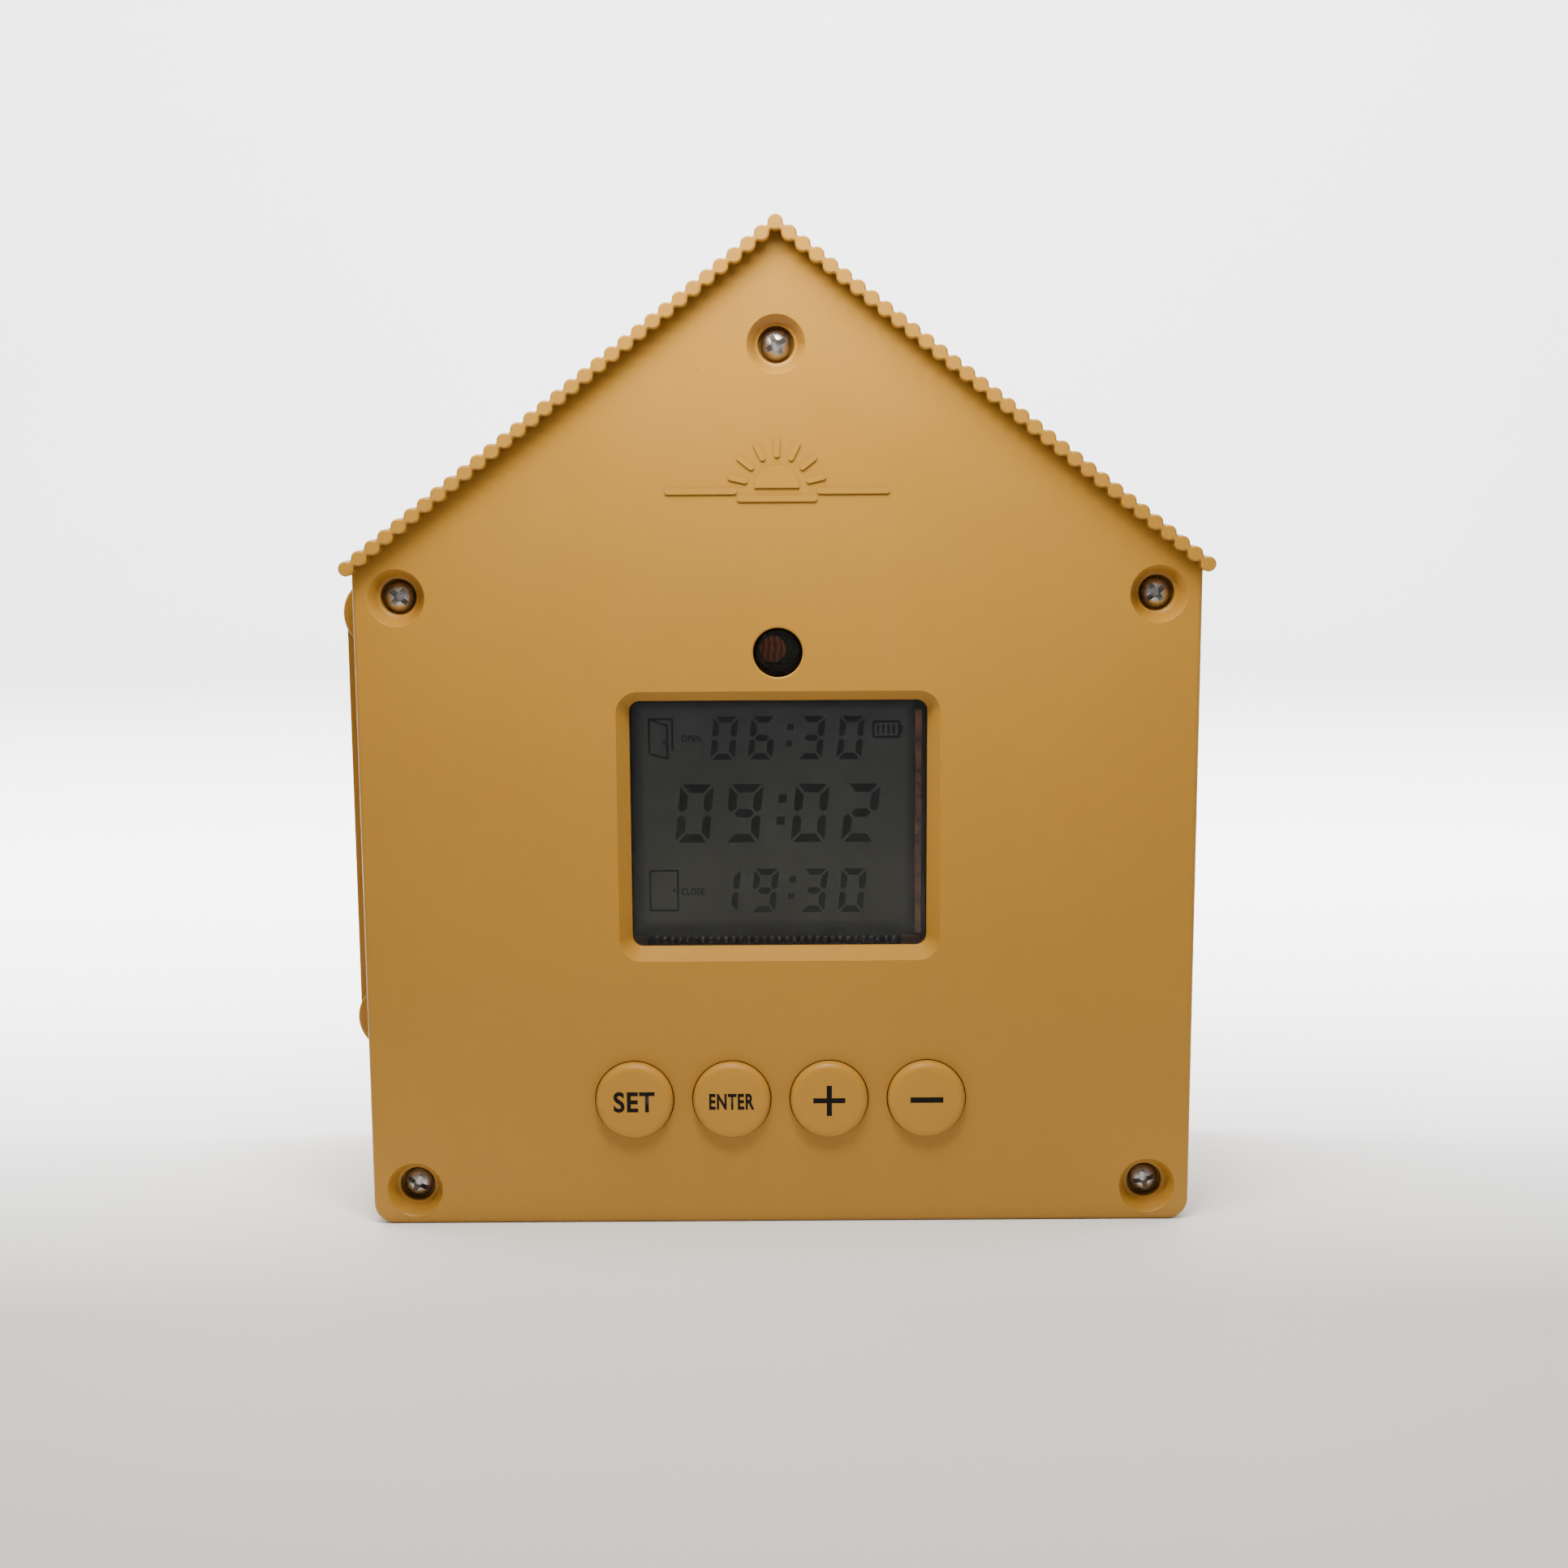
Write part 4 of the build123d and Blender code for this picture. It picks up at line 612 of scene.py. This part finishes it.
def word(name, text, centre, size, weight, front_y, material, body, sag=None):
    """Flat word facing the front. size is (width, height); sag gives the surface's depth by radius."""
    curve = bpy.data.curves.new(name + "_outline", "FONT")
    curve.body = text
    curve.offset = weight
    curve.space_character = 1.0 + LETTER_SPREAD * weight
    curve.resolution_u = 6
    shape = bpy.data.objects.new(name + "_outline", curve)
    bpy.context.scene.collection.objects.link(shape)
    bpy.context.view_layer.update()
    mesh = bpy.data.meshes.new_from_object(shape.evaluated_get(bpy.context.evaluated_depsgraph_get()))
    bpy.data.objects.remove(shape)
    xs = [v.co.x for v in mesh.vertices]
    zs = [v.co.y for v in mesh.vertices]
    mid_x, mid_z = (min(xs) + max(xs)) / 2, (min(zs) + max(zs)) / 2
    scale_x, scale_z = size[0] / (max(xs) - min(xs)), size[1] / (max(zs) - min(zs))
    for v in mesh.vertices:
        x, z = (v.co.x - mid_x) * scale_x, (v.co.y - mid_z) * scale_z
        drop = sag(math.hypot(x, z)) if sag else 0.0
        v.co = (centre[0] + x, front_y + drop, centre[1] + z)
    work = bmesh.new()
    work.from_mesh(mesh)
    work.normal_update()
    if sum(f.normal.y * f.calc_area() for f in work.faces) > 0:
        bmesh.ops.reverse_faces(work, faces=work.faces)
    work.to_mesh(mesh)
    work.free()
    piece = bpy.data.objects.new(name, mesh)
    bpy.context.scene.collection.objects.link(piece)
    paint(piece, material)
    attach(piece, body)
    return piece


def display_word(name, text, x, z, size):
    """Small word on the glass, with its middle at x and z in millimetres as in on_glass."""
    word(name, text, on_glass(x, z), size, 0.03, SEGMENT_FRONT, finishes["segment"], "casing")


display_word("display_open_word", "OPEN", -16.1, 41.0, (3.7 * MM, 1.3 * MM))
display_word("display_close_word", "CLOSE", -16.1, 10.8, (4.6 * MM, 1.4 * MM))

INK_LIFT = 0.02 * MM  # print stands this far in front of the button
CROWN = 0.12 * MM  # sag of the button's crown at its rounded edge
CROWN_R = 6.05 * MM  # radius at which the crown has that sag


def crown_sag(radius):
    """How far the button's crown lies behind its middle, at a radius."""
    return CROWN * (radius / CROWN_R) ** 2


def button_word(key, text, size, weight):
    """Word printed on a button's crown."""
    node = f"{key}_button"
    spot = middle(node)
    front = low(node).y - INK_LIFT
    centre, slot = (spot.x, spot.z), f"{node}_plastic"
    word(f"{key}_legend", text, centre, size, weight, front, finishes["ink"], f"{key}_key", crown_sag)


def button_sign(key, outline):
    """Flat sign printed on a button, from one outline in millimetres from the button's middle."""
    node = f"{key}_button"
    spot = middle(node)
    placed = [(spot.x + x * MM, spot.z + z * MM) for x, z in outline]
    front = low(node).y - INK_LIFT
    plate(f"{key}_legend", [placed], front, INK_LIFT * 1.5, finishes["ink"], f"{key}_key")


def cross_outline(left, right, bottom, top, level, half):
    """Plus sign as one outline. level is the height of the cross bar's middle."""
    return [
        (left, level - half),
        (-half, level - half),
        (-half, bottom),
        (half, bottom),
        (half, level - half),
        (right, level - half),
        (right, level + half),
        (half, level + half),
        (half, top),
        (-half, top),
        (-half, level + half),
        (left, level + half),
    ]


button_word("set", "SET", (8.0 * MM, 4.15 * MM), 0.028)
button_word("enter", "ENTER", (8.76 * MM, 3.2 * MM), 0.032)
button_sign("plus", cross_outline(-3.1, 3.1, -2.95, 3.1, 0.1, 0.5))
button_sign("minus", [(-3.18, -0.42), (3.18, -0.42), (3.18, 0.66), (-3.18, 0.66)])


# ================================================================ camera, light and floor
CAMERA_AHEAD = 411.1 * MM  # camera in front of the roof's front edge
CAMERA_UP = 154.6 * MM  # camera above the base
CAMERA_X = 0.5 * MM
PITCH, YAW, ROLL = math.radians(9.21), math.radians(0.073), math.radians(-0.325)
LENS, SENSOR = 50.735, 36.0


def add_camera():
    """Camera at the photograph's viewing angle."""
    forward = Vector((math.sin(YAW) * math.cos(PITCH), math.cos(YAW) * math.cos(PITCH), -math.sin(PITCH)))
    level = Vector((math.cos(YAW), -math.sin(YAW), 0))
    upright = level.cross(forward)
    right = math.cos(ROLL) * level + math.sin(ROLL) * upright
    up = -math.sin(ROLL) * level + math.cos(ROLL) * upright
    data = bpy.data.cameras.new("camera")
    data.lens, data.sensor_width = LENS, SENSOR
    data.clip_start, data.clip_end = 0.01, 20
    camera = bpy.data.objects.new("camera", data)
    bpy.context.scene.collection.objects.link(camera)
    place = Vector((CAMERA_X, ROOF_FRONT - CAMERA_AHEAD, BASE_Z + CAMERA_UP))
    camera.matrix_world = Matrix.Translation(place) @ Matrix((right, up, -forward)).transposed().to_4x4()
    bpy.context.scene.camera = camera


def add_light(name, place, target, size, watts, colour=(1, 1, 1)):
    """Rectangular softbox that faces a target and is hidden from the camera."""
    data = bpy.data.lights.new(name, "AREA")
    data.shape = "RECTANGLE"
    data.size, data.size_y = size
    data.energy = watts
    data.color = colour
    light = bpy.data.objects.new(name, data)
    bpy.context.scene.collection.objects.link(light)
    light.location = place
    light.rotation_mode = "QUATERNION"
    light.rotation_quaternion = (Vector(target) - Vector(place)).to_track_quat("-Z", "Y")
    light.visible_camera = False


def add_floor():
    """Pale floor that curves up into a backdrop behind the object."""
    half_width, ahead, behind, bend, height = 8.0, -8.0, 0.9, 0.5, 3.0
    bend_steps = 12
    profile = [(ahead, 0.0), (behind, 0.0)]
    for step in range(1, bend_steps + 1):
        angle = math.radians(90) * step / bend_steps
        profile.append((behind + bend * math.sin(angle), bend * (1 - math.cos(angle))))
    profile.append((behind + bend, height))
    corners = [(x, y, BASE_Z + z) for y, z in profile for x in (-half_width, half_width)]
    faces = [(2 * i, 2 * i + 1, 2 * i + 3, 2 * i + 2) for i in range(len(profile) - 1)]
    mesh = bpy.data.meshes.new("floor")
    mesh.from_pydata(corners, [], faces)
    for face in mesh.polygons:
        face.use_smooth = True
    floor = bpy.data.objects.new("floor", mesh)
    bpy.context.scene.collection.objects.link(floor)
    s = Shader("pale_floor")
    tone = s.mix(s.noise(3, 2), (0.90, 0.90, 0.90), (0.93, 0.93, 0.93))
    paint(floor, s.principled(Base_Color=tone, Roughness=0.9, Specular_IOR_Level=0.1))


def add_world(strength):
    """Even white ambient light."""
    world = bpy.data.worlds.new("studio")
    world.use_nodes = True
    world.node_tree.nodes["Background"].inputs["Strength"].default_value = strength
    world.node_tree.nodes["Background"].inputs["Color"].default_value = (1, 1, 1, 1)
    bpy.context.scene.world = world


WARM = (1.0, 0.965, 0.88)
AMBIENT = 0.22
add_camera()
add_floor()
add_world(AMBIENT)
add_light(
    "overhead_softbox", (-0.035, -0.115, 0.27), (0, -0.08, 0.0), size=(0.30, 0.07), watts=0.90, colour=WARM
)
add_light(
    "gable_softbox", (-0.02, -0.155, 0.18), (0, -0.058, 0.115), size=(0.12, 0.05), watts=0.50, colour=WARM
)
add_light("backdrop_wash", (0, 0.08, 0.45), (0, 1.2, 0.06), size=(2.4, 0.4), watts=95)
